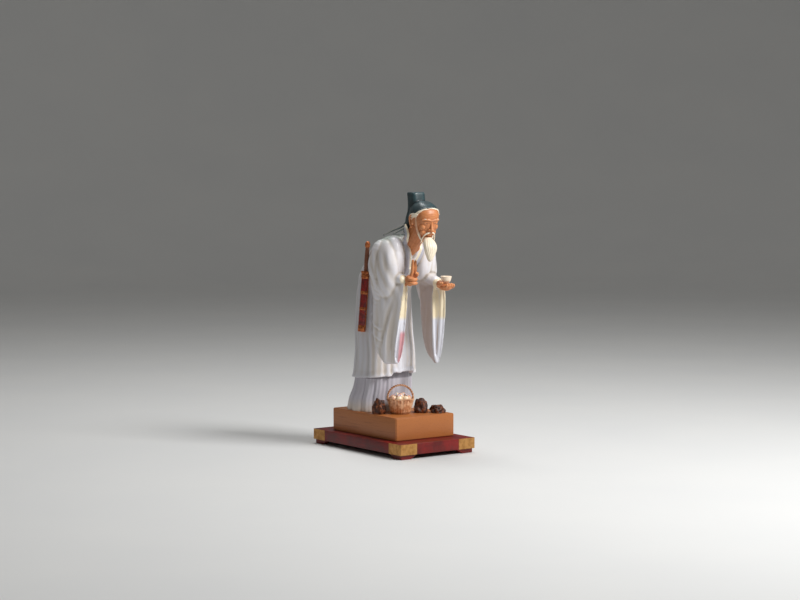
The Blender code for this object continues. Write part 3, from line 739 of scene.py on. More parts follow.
def peach(bm, place, radius):
    """Round fruit with a cleft and a small point on top."""
    rings = []
    for i in range(1, 24):
        rise = math.pi * (i / 24 - 0.5)
        tip = peach_tip * max(math.sin(rise), 0) ** 8
        height = radius * (math.sin(rise) * 0.95 + tip)
        ring = []
        for t in turns(40):
            cleft = 1 - peach_cleft * math.exp(-((math.remainder(t, 2 * math.pi) / 0.22) ** 2))
            wide = radius * math.cos(rise) * cleft
            ring.append(place @ Vector((wide * math.cos(t), wide * math.sin(t), height)))
        rings.append(ring)
    loft(bm, rings)


peach_glaze = Finish("peach_glaze", {"Roughness": 0.28, "Coat Weight": 0.6, "Coat Roughness": 0.1})
blush = peach_glaze.clouds(blush_size, detail=2.0)
peach_glaze.give("Base Color", peach_glaze.mix(blush.between(0.42, 0.62), peach_pale, peach_blush))
peach_glaze.give("Roughness", 0.2 + 0.2 * blush)

random.seed(11)
heap = bmesh.new()
inner = max(basket_wall, basket_wall / 2 + handle_radius) + fruit_fit
fill_top = basket_height - 0.005
floor_height = basket_floor + 0.0003
fill_heights = [floor_height + (fill_top - floor_height) * i / 6 for i in range(7)]
fill = [(axis_gap, floor_height)] + [(basket_radius(h) - inner, h) for h in fill_heights]
turned(heap, fill + [(axis_gap, fill_top)], 64, basket_place)
fruit_ring = basket_rim_radius - inner - fruit_radius
lower_fruit = circle(fruit_ring, basket_height - 0.001, 7)
upper_fruit = circle(0.45 * fruit_ring, basket_height + 0.004, 3, 0.5)
for spot in lower_fruit + upper_fruit:
    lean = Matrix.Rotation(random.uniform(0, 6.28), 4, "Z") @ Matrix.Rotation(random.uniform(0, 0.5), 4, "X")
    peach(heap, basket_place @ Matrix.Translation(spot) @ lean, fruit_radius * 0.97)
piece("fruit_heap", mesh_of(heap, "fruit_heap"), peach_glaze, ["fruit"])

blossom_clay = Finish("blossom_clay", {"Roughness": 0.3, "Coat Weight": 0.4})
shift_tone = blossom_clay.clouds(0.008, detail=1.0)
blossom_clay.give("Base Color", blossom_clay.mix(shift_tone.between(0.46, 0.56), blossom_pink, blossom_blue))
blossom_clay.give("Roughness", 0.25 + 0.2 * shift_tone)

petals = Growth("five_petals", {"Petals": petal_count, "Length": petal_length})
petal = petals.node("GeometryNodeMeshUVSphere", {}, {"Segments": 12, "Rings": 8, "Radius": 1.0})
reach = petals.size("Length")
petal_size = petals.xyz(reach * 0.62, reach * 0.55, reach * 0.2)
petal_ring = petals.node(
    "GeometryNodeMeshCircle", {}, {"Vertices": petals.size("Petals"), "Radius": reach * 0.6}
)
petal_number = petals.node("GeometryNodeInputIndex")
petal_turn = petals.xyz(0.0, -0.35, petal_number * (2 * math.pi) / petals.size("Petals"))
flower = petals.node(
    "GeometryNodeInstanceOnPoints",
    {},
    {"Points": petal_ring, "Instance": petal, "Rotation": petal_turn, "Scale": petal_size},
)
petals.finished(petals.set_on_points(petals.geometry(), flower, {}), blossom_clay)

blossom_spots = []
blossom_aims = []
for k in range(blossom_count):
    t = 2.4 * k + 0.3
    out = fruit_ring * math.sqrt((k + 0.5) / blossom_count)
    lean = Vector((math.cos(t) * out, math.sin(t) * out, 0.020)).normalized()
    spot = Vector((math.cos(t) * out, math.sin(t) * out, basket_height + 0.0095 - 12 * out**2))
    blossom_spots.append(basket_place @ spot)
    blossom_aims.append(basket_place.to_3x3() @ lean)
blossom_mesh = petals.grown("blossoms", aimed_points(blossom_spots, blossom_aims))
piece("blossoms", blossom_mesh, blossom_clay, ["fruit"])


# Skirt: the under-robe, press-moulded with the robe and fired with it. It falls in deep pleats
# and spreads to the back, under a thin violet grey glaze that runs off the ridges. Painted shade
# lies in its pleats, with a painted warm reflection on its foot and a painted shadow under the hem.
figure_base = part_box("figure")[0].z
mm = 0.001
figure_to_world = Matrix.Translation((0, 0, figure_base)) @ Matrix.Scale(mm, 4)
skirt_rows = [
    (-6, 74, 110, -17),
    (0, 73, 108, -16),
    (25, 70, 102, -14),
    (50, 65, 91, -16),
    (95, 60, 83, -21),
]
robe_corner = 0.88
robe_grain = 0.0018
skirt_pleats = 15
skirt_pleat_depth = 4.2
skirt_waist_loss = 2.0
skirt_ridge = (212, 209, 216)
skirt_pool_and_shade = (162, 156, 168)
skirt_warm_reflection = (206, 190, 172)
hem_shadow_low = 0.070
skirt_shade = (104, 98, 106)


def ease(low, high, t):
    """0 below low, 1 above high, smooth between."""
    u = min(max((t - low) / (high - low), 0.0), 1.0)
    return u * u * (3 - 2 * u)


def pleats(angle, count):
    """Rounded ridges with narrow valleys between, about zero."""
    uneven = angle + 0.16 * math.sin(2 * angle + 0.8) + 0.07 * math.sin(3 * angle)
    return abs(math.cos(count * uneven / 2)) ** 0.9 - 0.64


def ring_point(row, angle, height, swell):
    """Point on a robe section, pushed out by swell."""
    half, back, front = row
    middle = (back + front) / 2
    x = half * soft(math.cos(angle), robe_corner)
    y = (back - front) / 2 * soft(math.sin(angle), robe_corner)
    grow = 1 + swell / math.hypot(x, y)
    return Vector((x * grow, middle + y * grow, height))


def heights_over(rows, steps):
    """Even heights from the first row to the last."""
    low, high = rows[0][0], rows[-1][0]
    return [low + (high - low) * i / steps for i in range(steps + 1)]


def skirt(bm):
    """Deep pleats with a fine ripple on them, shallower towards the waist."""
    rings = []
    for height in heights_over(skirt_rows, 60):
        depth = skirt_pleat_depth - skirt_waist_loss * height / skirt_rows[-1][0]
        row = along(skirt_rows, height)
        ring = []
        for t in turns(420):
            drift = t + 0.0008 * height + 0.02 * math.sin(height / 23 + 3 * t)
            fine = 0.5 * math.cos(41 * t + 0.02 * height) * (0.4 + 0.6 * math.cos(2 * t + 1) ** 2)
            ring.append(ring_point(row, t, height, depth * pleats(drift, skirt_pleats) + fine))
        rings.append(ring)
    loft(bm, rings)


def set_down(bm):
    """Brings a shape from the figure's millimetres to its place on the block."""
    bmesh.ops.transform(bm, matrix=figure_to_world, verts=bm.verts[:])


def settle(thing):
    """Replaces an object's mesh by what its modifiers make of it."""
    bpy.context.view_layer.update()
    seen = thing.evaluated_get(bpy.context.evaluated_depsgraph_get())
    mesh = bpy.data.meshes.new_from_object(seen)
    thing.modifiers.clear()
    thing.data = mesh


def one_skin(bm, name, voxel, smoothing):
    """The figure's overlapping forms, set down, fused into one skin and evened."""
    set_down(bm)
    thing = start_object(bm)
    fuse = thing.modifiers.new("fuse", "REMESH")
    fuse.mode = "VOXEL"
    fuse.voxel_size = voxel
    settle(thing)
    even = thing.modifiers.new("even", "SMOOTH")
    even.factor = 0.5
    even.iterations = smoothing
    settle(thing)
    mesh = thing.data
    mesh.name = name
    bpy.data.objects.remove(thing)
    return mesh


def places(mesh):
    """Vertices as rows of x, y, z."""
    flat = np.empty(len(mesh.vertices) * 3)
    mesh.vertices.foreach_get("co", flat)
    return flat.reshape(-1, 3)


def normals(mesh):
    """Directions in which the vertices face, as rows of x, y, z."""
    flat = np.empty(len(mesh.vertices) * 3)
    mesh.vertex_normals.foreach_get("vector", flat)
    return flat.reshape(-1, 3)


def put(mesh, points):
    """Moves the vertices to new places."""
    mesh.vertices.foreach_set("co", points.ravel())
    mesh.update()


def paint(mesh, name, values):
    """Paints one value on each vertex."""
    layer = mesh.attributes.new(name, "FLOAT", "POINT")
    layer.data.foreach_set("value", np.clip(values, 0, 1).astype(np.float32))


def neighbours_mean(mesh, values, rounds):
    """Values averaged over each vertex's neighbours, over and over."""
    edges = np.empty(len(mesh.edges) * 2, dtype=np.int64)
    mesh.edges.foreach_get("vertices", edges)
    a, b = edges.reshape(-1, 2).T
    count = np.bincount(edges, minlength=len(mesh.vertices))[:, None]
    for _ in range(rounds):
        total = np.zeros_like(values)
        for axis in range(values.shape[1]):
            total[:, axis] += np.bincount(a, values[b, axis], len(mesh.vertices))
            total[:, axis] += np.bincount(b, values[a, axis], len(mesh.vertices))
        values = total / np.maximum(count, 1)
    return values


def paint_hollows(mesh, rounds, reach):
    """Paints how deep each vertex lies in a fold: 0 on a ridge, 1 in a hollow."""
    points = places(mesh)
    shift = neighbours_mean(mesh, points, rounds) - points
    depth = (shift * normals(mesh)).sum(1) / reach
    paint(mesh, "hollow", 0.5 + 0.5 * depth)


def smooth_step(low, high, values):
    """The same easing as ease, on whole arrays."""
    u = np.clip((values - low) / (high - low), 0, 1)
    return u * u * (3 - 2 * u)


def figure_points(mesh):
    """Vertices in the figure's own millimetres."""
    return (places(mesh) - np.array([0, 0, figure_base])) / mm


under = bmesh.new()
skirt(under)
set_down(under)
flat_foot(under, figure_base)
skirt_mesh = mesh_of(under, "skirt_folds")
paint_hollows(skirt_mesh, 8, 0.0008)

violet = Finish("violet_glaze", {"Roughness": 0.3, "Coat Weight": 0.35, "Coat Roughness": 0.12})
# Lighter on the pleats' ridges and darker in their hollows: partly glaze running thin and pooling, partly
# painted light and shade.
pool_and_shade = violet.painted("hollow") * 0.8 + violet.clouds(0.02, (1, 1, 3)) * 0.4 - 0.1
# Painted warm reflection on the lowest few centimetres of the skirt.
foot_share = 1 - ((violet.part(2) - figure_base) + 0.012 * violet.clouds(0.02)).between(0.004, 0.038)
folds = violet.mix(pool_and_shade, skirt_ridge, skirt_pool_and_shade)
warm_reflected = violet.mix(foot_share * 0.8, folds, skirt_warm_reflection)
# Painted shadow on the skirt's top, where the robe's hem hangs over it.
hem_shadow = (violet.part(2) - figure_base).between(hem_shadow_low, hem_shadow_low + 0.004)
violet.give("Base Color", violet.mix(hem_shadow * 0.85, warm_reflected, skirt_shade))
violet.give("Roughness", 0.24 + 0.24 * violet.clouds(0.015))
violet.relief(violet.clouds(0.0035, detail=2.0), 0.0002)
piece("skirt_folds", skirt_mesh, violet, ["figure"])


# Robe: the wide-sleeved coat over the skirt, built up in soft clay over the moulded body, its
# folds drawn with a tool. Pale grey glaze outside, cream slip on collar and cuffs, pink inside.
# Painted shade lies in its folds, inside the far sleeve, over its back and on the collar's outer
# half, and painted light on the front panel's foot.
robe_rows = [
    (72, 67, 91, -25),
    (90, 67, 88, -26),
    (132, 66, 82, -25),
    (176, 65, 84, -18),
    (219, 62, 84, -17),
    (263, 60, 81, -19),
    (285, 60, 78, -34),
    (307, 60, 68, -52),
    (324, 60, 56, -64),
    (339, 59, 45, -72),
    (357, 54, 30, -76),
    (371, 43, 13, -70),
    (380, 27, -3, -58),
    (384, 8, -18, -42),
]
neck_opening_foot = 325
neck_opening_top = 372
neck_opening_half = 21
neck_opening_depth = 6
neck_opening_x = 4
flap_right = -20
flap_left = 40
flap_rise = 8
flap_out = 2.2
hem_trim = 96
hem_flare = 2.2
robe_pleats = 11
robe_pleat_depth = 3.0
glaze_drift = 0.03
robe_ridge = (228, 225, 229)
robe_body = (212, 203, 195)
robe_pool_and_shade = (160, 148, 139)
robe_back_shade = (188, 188, 196)
robe_sleeve_shade = (172, 152, 142)
robe_celadon = (168, 196, 184)
collar_band_shade = (152, 152, 166)
cream_slip = (236, 221, 190)
white_slip = (220, 220, 228)
lining_pink = (214, 152, 158)


def neck_dip(point):
    """How far the robe stands back inside the neck opening."""
    if point.y > -30 or point.z < neck_opening_foot:
        return 0.0
    share = (point.z - neck_opening_foot) / (neck_opening_top - neck_opening_foot)
    half = neck_opening_half * min(share, 1.0)
    return neck_opening_depth * (1 - ease(half - 3, half, abs(point.x - neck_opening_x)))


def robe(bm):
    """Body of the robe, folds deepest towards the hem, its front flap a little shorter."""
    rings = []
    low = robe_rows[0][0]
    for height in heights_over(robe_rows, 150):
        row = along(robe_rows, height)
        hang = 1 - ease(150, 330, height)
        depth = 0.7 + robe_pleat_depth * hang
        hem = hem_flare * (1 - ease(low, low + 16, height))
        near_hem = 1 - ease(low, low + 40, height)
        ring = []
        for t in turns(360):
            drift = t + 0.0012 * height + 0.025 * math.sin(height / 37 + 2 * t)
            swell = hem + depth * pleats(drift, robe_pleats)
            swell += 0.7 * hang * math.cos(27 * t + 0.012 * height + 1.5 * math.sin(height / 50))
            lift = (3 + 4 * math.cos(t + 0.9)) * near_hem
            point = ring_point(row, t, height + lift, swell)
            if math.sin(t) < 0:
                flap = ease(flap_right - 1, flap_right + 1, point.x)
                flap *= 1 - ease(flap_left, flap_left + 6, point.x)
                point.y -= flap * flap_out * (1 - ease(250, 300, height))
                point.z += flap * flap_rise * near_hem
            point.y += neck_dip(point)
            ring.append(point)
        rings.append(ring)
    loft(bm, rings)


def robe_front(x, height):
    """Point of the robe's front at a given x."""
    half, back, front = along(robe_rows, height)
    share = min(abs(x) / half, 0.99) ** (2 / robe_corner)
    depth = (back - front) / 2 * (1 - share) ** (robe_corner / 2)
    return Vector((x, (back + front) / 2 - depth, height))


def band(bm, spine, outs, width, thick):
    """Flat band of cloth along a spine, lying square to the out directions."""
    rings = []
    for i, centre in enumerate(spine):
        ahead = (spine[min(i + 1, len(spine) - 1)] - spine[max(i - 1, 0)]).normalized()
        out = (outs[i] - ahead * outs[i].dot(ahead)).normalized()
        side = ahead.cross(out)
        ring = []
        for across, over in rounded(24, 0.7):
            ring.append(centre + side * across * width / 2 + out * (thick * 0.3 + thick * over))
        rings.append(ring)
    loft(bm, rings)


def collar_spine():
    """Middle line of the collar: up the right breast, round the neck and down the left."""
    right = [(1, 304), (-3, 315), (-7, 325), (-11.5, 338), (-14.5, 352), (-18, 366)]
    left = [(28, 366), (24, 352), (19, 338), (14, 325), (10, 316)]
    neck = [(-23, -83, 384), (-22, -78, 397), (-11, -63, 403), (2, -58, 405)]
    neck += [(16, -63, 403), (27, -75, 397), (29, -80, 384)]
    points = [robe_front(x, z) for x, z in right]
    points += [Vector(point) for point in neck]
    points += [robe_front(x, z) for x, z in left]
    rows = [(i, *point) for i, point in enumerate(points)]
    count = (len(points) - 1) * 6
    return [Vector(along(rows, i / 6)) for i in range(count + 1)]


collar_middle = Vector((3, -70, 380))
collar_width = 11
collar_thickness = 2.6
collar_line = collar_spine()
collar_outs = []
for point in collar_line:
    away = point - collar_middle
    away.z = 0
    share = ease(362, 384, point.z)
    collar_outs.append(Vector((0, -1, 0.3)) * (1 - share) + away.normalized() * share)

edge_band_width = 11
edge_band_thickness = 2.0
front_line = [robe_front(4 - 0.2 * i, 312 - 6 * i) + Vector((0, -1.6, 0)) for i in range(39)]
front_outs = [Vector((0, -1, 0.1))] * len(front_line)

sleeve_top_half = 13.5
sleeve_foot_half = 8.5
sleeve_rounding = 0.16
sleeve_swell = 6.0
cuff_lip = 2.6
cuff_lip_share = 0.985
cuff_depth_share = 0.07


class Sleeve:
    """Where a sleeve's bag starts and ends, how its lower edge runs and where it folds."""

    def __init__(self, elbow, wrist, slant, skew, foot_rows, mirror, folds):
        self.elbow = Vector(elbow)
        self.wrist = Vector(wrist)
        self.slant = slant
        self.skew = skew
        self.foot_rows = foot_rows
        self.folds = folds
        self.run = self.wrist - self.elbow
        self.run.z = 0
        self.reach = self.run.length
        self.run.normalize()
        self.out = Vector((self.run.y, -self.run.x, 0)) * mirror

    def edge(self, lift, side):
        """Distance from the elbow to the cuff's edge."""
        inner, outer = self.slant
        slant = inner + (outer - inner) * side
        return self.reach + self.skew * (2 * side - 1) - slant * (1 - lift) ** 1.3

    def point(self, share, lift, across, side):
        """Point at a share from elbow to cuff, a share of the bag's height, and aside."""
        top = self.elbow.z + (self.wrist.z - self.elbow.z) * share
        foot = along(self.foot_rows, share)[0]
        place = self.elbow + self.run * share * self.edge(lift, side) + self.out * across
        place.z = foot + (top - foot) * lift
        return place

    def fold(self, share, lift):
        """Hanging folds that run down from the arm, deeper towards the lower edge."""
        deep = 1 - ease(0.15, 0.98, lift)
        total = math.cos(2 * math.pi * (1.7 * share + 0.22 * lift)) * 2.0 * deep
        for top_share, foot_share, width, height in self.folds:
            line = foot_share + (top_share - foot_share) * lift
            gap = (share - line) / width
            total += height * math.exp(-gap * gap) * (0.25 + 0.75 * deep)
        crease = -2.2 * math.exp(-(((share - 0.30 - 0.55 * lift) / 0.07) ** 2))
        return total + crease * ease(0.1, 0.3, lift) * (1 - ease(0.6, 0.9, lift))

    def ring(self, share, inset, scale=1.0):
        """Section of the bag; inset leaves the cuff's lip."""
        rounding = math.sin(math.pi / 2 * min(share / sleeve_rounding, 1.0)) ** 0.6
        points = []
        for t in turns(120):
            lift = 0.5 + 0.5 * soft(math.sin(t), 0.8)
            thick = sleeve_foot_half + (sleeve_top_half - sleeve_foot_half) * lift
            thick = (thick + sleeve_swell * math.sin(math.pi * share) * lift) * scale
            across = max(thick * rounding - inset, 1.0) * soft(math.cos(t), 0.8)
            if inset:
                lift = 0.5 + (lift - 0.5) * cuff_lip_share
            fold = self.fold(share, lift) * (1 if across > 0 else 0.6)
            side = 0.5 + 0.5 * math.cos(t)
            points.append(self.point(share, lift, across + fold, side))
        return points

    def cuff_gap(self, points):
        """How far each point lies behind the cuff's edge, and its share of the bag's height."""
        offset = points - np.array(self.elbow)
        foot = self.foot_rows[-1][1]
        lift = np.clip((points[:, 2] - foot) / (self.wrist.z - foot), 0, 1)
        steps = np.linspace(0, 1, 60)
        across = offset @ np.array(self.out)
        across -= 0.8 * np.interp(lift, steps, [self.fold(1.0, step) for step in steps])
        thick = sleeve_foot_half + (sleeve_top_half - sleeve_foot_half) * lift
        turn = np.clip(across / thick, -1, 1)
        side = 0.5 + 0.5 * np.sign(turn) * np.abs(turn) ** 1.25
        gap = self.edge(lift, side) - offset @ np.array(self.run)
        gap = np.where((np.abs(across) > 22) | (points[:, 2] > self.wrist.z + 12), 99, gap)
        return gap, lift, side


right_sleeve = Sleeve(
    elbow=(-57, -8, 292),
    wrist=(-32, -93, 293),
    slant=(13, 38),
    skew=4,
    foot_rows=[(0.0, 172), (0.12, 146), (0.25, 123), (0.46, 109), (0.75, 107), (1.0, 109)],
    mirror=1,
    folds=[(0.50, 0.22, 0.07, 1.2), (0.74, 0.58, 0.06, 1.4), (0.92, 0.86, 0.04, 1.0)],
)
left_sleeve = Sleeve(
    elbow=(51, -42, 290),
    wrist=(50, -101, 291),
    slant=(2, 8),
    skew=8,
    foot_rows=[(0.0, 182), (0.2, 142), (0.45, 120), (0.76, 108), (1.0, 107)],
    mirror=-1,
    folds=[(0.5, 0.3, 0.09, 0.8), (0.8, 0.72, 0.07, 0.9)],
)


def sleeve(bm, bag):
    """Outer skin from elbow to cuff, then back inside as the cuff's hollow."""
    outer = [bag.ring(0.02 + 0.98 * i / 60, 0.0) for i in range(61)]
    inner = [bag.ring(1.0 - cuff_depth_share * i / 10, cuff_lip) for i in range(11)]
    inner.append(bag.ring(1.0 - cuff_depth_share, cuff_lip, 0.5))
    loft(bm, outer + inner)


def blob(bm, centre, sizes, frame=Matrix(), corner=1.0):
    """Ellipsoid with half sizes, in a frame; a corner power under 1 makes it boxier."""
    place = frame @ Matrix.Translation(centre) @ Matrix.Diagonal((*sizes, 1))
    rings = []
    for i in range(1, 28):
        rise = math.pi * (i / 28 - 0.5)
        wide, high = soft(math.cos(rise), corner), soft(math.sin(rise), corner)
        rings.append([place @ Vector((x * wide, y * wide, high)) for x, y in rounded(44, corner)])
    loft(bm, rings)


right_arm = [
    (-44, -26, 351, 25),
    (-50, -22, 318, 25),
    (-51, -28, 298, 23),
    (-43, -56, 291, 18),
    (-36, -80, 289, 13),
]
left_arm = [
    (46, -42, 355, 28),
    (52, -46, 320, 26),
    (53, -52, 292, 22),
    (51, -74, 283, 15),
    (50, -92, 280, 12),
]
shoulder_cloth = [
    ((-44, -41, 306), (27, 38, 68)),
    ((-36, -51, 334), (20, 26, 46)),
    ((-38, -53, 318), (19, 27, 52)),
    ((38, -48, 325), (20, 28, 42)),
]
drape_steps = 5
drape_fall = 9
drape_thinning = 0.055
sleeve_creases = [
    ([(-2, 258), (-12, 246), (-24, 240), (-36, 240)], 0.7),
    ([(2, 214), (-8, 199), (-20, 189), (-34, 184), (-48, 183)], 1.0),
    ([(4, 196), (-4, 180), (-16, 168), (-30, 161), (-46, 158)], 0.8),
    ([(0, 172), (-9, 157), (-22, 147), (-36, 142)], 0.6),
]


def arms(bm):
    """Upper arms and forearms in their sleeves, and the cloth that hangs from them."""
    for arm in (right_arm, left_arm):
        tube(bm, arm)
        for k in range(1, drape_steps + 1):
            thinner = 1 - drape_thinning * k
            tube(bm, [(x, y, z - drape_fall * k, r * thinner) for x, y, z, r in arm[1:-1]])
    for centre, sizes in shoulder_cloth:
        blob(bm, centre, sizes, corner=0.85)


def line_gap(points, line):
    """Distance in millimetres from each point to a line of points."""
    best = np.full(len(points), 1e9)
    for start, end in zip(line, line[1:]):
        start, end = np.array(start), np.array(end)
        run = end - start
        share = np.clip((points - start) @ run / (run @ run), 0, 1)
        best = np.minimum(best, np.linalg.norm(points - start - share[:, None] * run, axis=1))
    return best


def band_offset(points, line, outs):
    """Distance from each point to a band's middle line, and how far it lies to the band's side."""
    best = np.full(len(points), 1e9)
    offset = np.zeros(len(points))
    for start, end, out in zip(line, line[1:], outs):
        run = np.array(end - start)
        side = np.array((end - start).cross(out).normalized())
        share = np.clip((points - np.array(start)) @ run / (run @ run), 0, 1)
        gap = points - np.array(start) - share[:, None] * run
        distance = np.linalg.norm(gap, axis=1)
        offset = np.where(distance < best, gap @ side, offset)
        best = np.minimum(best, distance)
    return best, offset


def arm_creases(points):
    """Soft folds that fall from the shoulders down the upper arms, leaning a little forward."""
    x, y, z = points.T
    share = smooth_step(215, 300, z) * (1 - smooth_step(330, 368, z))
    lean = y - 0.35 * (z - 300) + 4 * np.sin(z / 31)
    fall = 0.7 * np.cos(0.30 * lean + 0.6) + 0.4 * np.cos(0.17 * lean + 2.0)
    return share * fall * np.maximum(smooth_step(-34, -48, x), smooth_step(38, 52, x))


def fallen_creases(points):
    """Crescent ridges on the near sleeve, where its cloth hangs from the elbow."""
    total = np.zeros(len(points))
    for line, height in sleeve_creases:
        spine = [(0.0, *step) for step in line]
        flat = points * [0, 1, 1]
        ridge = line_gap(flat, spine)
        groove = line_gap(flat + [0, 0, 4.5], spine)
        ends = smooth_step(spine[-1][1] - 6, spine[-1][1] + 26, points[:, 1])
        crest = np.exp(-((ridge / 3.2) ** 2)) - 0.8 * np.exp(-((groove / 3.2) ** 2))
        total += 0.8 * height * crest * ends
    return total * smooth_step(-42, -50, points[:, 0])


def wander(points, sizes, seed):
    """Random values over the points, with patterns of the given sizes along x, y and z."""
    stretched = points / np.array(sizes) + seed
    return np.array([noise.noise(Vector(row)) for row in stretched])


def paint_cuffs(mesh):
    """Slip round each cuff's mouth, cream over its upper half, and pink low inside the near one."""
    points = figure_points(mesh)
    facing_front = smooth_step(0.42, 0.52, -normals(mesh)[:, 1])
    cuffs, cream, lining = np.zeros((3, len(points)))
    for bag, pink in ((right_sleeve, 1), (left_sleeve, 0)):
        gap, lift, side = bag.cuff_gap(points)
        mouth = smooth_step(3.0, 2.0, gap)
        mouth = np.maximum(mouth, smooth_step(14, 12, gap) * facing_front * (gap < 20))
        cuffs = np.maximum(cuffs, mouth)
        cream = np.maximum(cream, mouth * smooth_step(0.50, 0.56, lift))
        inner_half = smooth_step(0.5, 0.4, side) * smooth_step(0.40, 0.34, lift)
        lining = np.maximum(lining, pink * mouth * inner_half)
    paint(mesh, "cuff", cuffs)
    paint(mesh, "cream", cream)
    paint(mesh, "lining", lining)
    return cuffs


def paint_collar(mesh):
    """The collar's cream half beside the neck, and its other half beside the robe painted grey as shade."""
    gap, towards_neck = band_offset(figure_points(mesh), collar_line, collar_outs)
    on_band = smooth_step(7.5, 6.8, gap)
    paint(mesh, "collar", on_band * smooth_step(1.2, 2.2, towards_neck))
    paint(mesh, "band", on_band * smooth_step(1.6, 0.6, towards_neck))


def paint_shade(mesh, cuffs):
    """Painted shade inside the far sleeve and over the back of the robe, and a celadon tinge on the
    shoulders.
    """
    x, y, z = figure_points(mesh).T
    far_sleeve_shade = smooth_step(0.1, -0.5, normals(mesh)[:, 0]) * smooth_step(24, 32, x)
    far_sleeve_shade *= smooth_step(-46, -54, y) * smooth_step(288, 268, z)
    paint(mesh, "inside", far_sleeve_shade * (1 - cuffs))
    # The robe's back below the shoulders, away from the light: painted shade.
    paint(mesh, "behind", smooth_step(-6, 6, y) * smooth_step(330, 300, z))
    paint(mesh, "shoulder", smooth_step(345, 378, z + 0.25 * y))


def paint_trim_and_light(mesh):
    """White slip along the front of the hem and on the front edge, and painted light on the front panel's
    foot, which stands in shade.
    """
    points = figure_points(mesh)
    x, y, z = points.T
    front_side = smooth_step(-8, -14, y) * smooth_step(flap_right - 1, flap_right + 1, x)
    hem = front_side * smooth_step(hem_trim + 2, hem_trim, z)
    edge = smooth_step(7.5, 6.5, line_gap(points, front_line))
    # Painted light: the front panel's foot lightened with white where it stands in shade.
    panel = front_side * smooth_step(-12, -8, x) * smooth_step(20, 16, x) * smooth_step(195, 165, z)
    paint(mesh, "trim_and_light", np.maximum.reduce([hem, edge, panel]))


coat = bmesh.new()
robe(coat)
band(coat, collar_line, collar_outs, collar_width, collar_thickness)
band(coat, front_line, front_outs, edge_band_width, edge_band_thickness)
arms(coat)
blob(coat, (2, -48, 371), (25, 22, 15))
sleeve(coat, right_sleeve)
sleeve(coat, left_sleeve)
robe_mesh = one_skin(coat, "robe_folds", robe_grain, 2)
at_rest = figure_points(robe_mesh)
drape = arm_creases(at_rest) + fallen_creases(at_rest)
drape += 0.7 * wander(at_rest, (11, 11, 75), 3.0) * smooth_step(372, 340, at_rest[:, 2])
put(robe_mesh, places(robe_mesh) + normals(robe_mesh) * (drape * mm)[:, None])
paint_hollows(robe_mesh, 8, 0.0011)

cuff_share = paint_cuffs(robe_mesh)
paint_collar(robe_mesh)
paint_shade(robe_mesh, cuff_share)
paint_trim_and_light(robe_mesh)

glaze = Finish("pale_glaze", {"Roughness": 0.4, "Coat Weight": 0.22, "Coat Roughness": 0.22})
depth = glaze.painted("hollow")
drift = glaze.clouds(glaze_drift, (1, 1, 2.5), 2.0)
# Lighter on the ridges and darker in the folds: partly glaze running thin and pooling, partly painted light
# and shade.
thin = glaze.mix((depth + 0.5 * drift - 0.25).between(0.30, 0.62), robe_ridge, robe_body)
pooled_and_shaded = glaze.mix((depth + 0.3 * drift - 0.15).between(0.55, 0.95), thin, robe_pool_and_shade)
# Painted shade, darker and cooler, over the robe's back.
back_shaded = glaze.mix(glaze.painted("behind") * 0.6, pooled_and_shaded, robe_back_shade)
# Painted shade on the far sleeve's inner side, which the near sleeve keeps from the light.
shaded = glaze.mix(glaze.painted("inside") * (0.6 + 0.4 * drift), back_shaded, robe_sleeve_shade)
tinged = glaze.mix(glaze.painted("shoulder") * drift.between(0.35, 0.6) * 0.6, shaded, robe_celadon)
# White slip along the hem and front edge, and painted light on the front panel's foot.
trim_and_painted_light = glaze.mix(glaze.painted("trim_and_light") * 0.75, tinged, white_slip)
slips = glaze.mix(glaze.painted("cream"), white_slip, cream_slip)
cuffed = glaze.mix(glaze.painted("cuff"), trim_and_painted_light, slips)
# Painted shade on the collar's outer half, beside the robe.
collar_shaded = glaze.mix(glaze.painted("band") * 0.7, cuffed, collar_band_shade)
edged = glaze.mix(glaze.painted("collar"), collar_shaded, cream_slip)
lined = glaze.mix(glaze.painted("lining"), edged, lining_pink)
glaze.give("Base Color", lined)
glaze.give("Roughness", 0.32 + 0.24 * drift)
glaze.relief(glaze.clouds(0.004, detail=2.0), 0.00022)
piece("robe_folds", robe_mesh, glaze, ["figure"])


# Flesh: head, neck, chest and hands in bare caramel clay, burnished with a bamboo tool.
# The hands are modelled apart and joined at the cuffs before firing.
head_frame = (
    Matrix.Translation((4, -107, 420))
    @ Matrix.Rotation(math.radians(-6), 4, "Z")
    @ Matrix.Rotation(math.radians(20), 4, "X")
)
skull_middle = Vector((0, 2, 4))
skull_half = Vector((27.5, 34, 30))
skull_corner = 0.85
eye_out = 10.6
eye_height = 0.4
eye_depth = -24.6
eye_radius = 5.2
lid_thickness = 0.75
lid_reach = 0.95
head_grain = 0.00064
hand_grain = 0.0007
clay_mottle = 0.006
clay_pores = 0.0011
right_hand = Vector((-27, -98, 289))
left_palm = Vector((50, -122, 273))
flesh_light = (212, 140, 92)
flesh_mid = (186, 112, 66)
flesh_shade = (118, 60, 30)


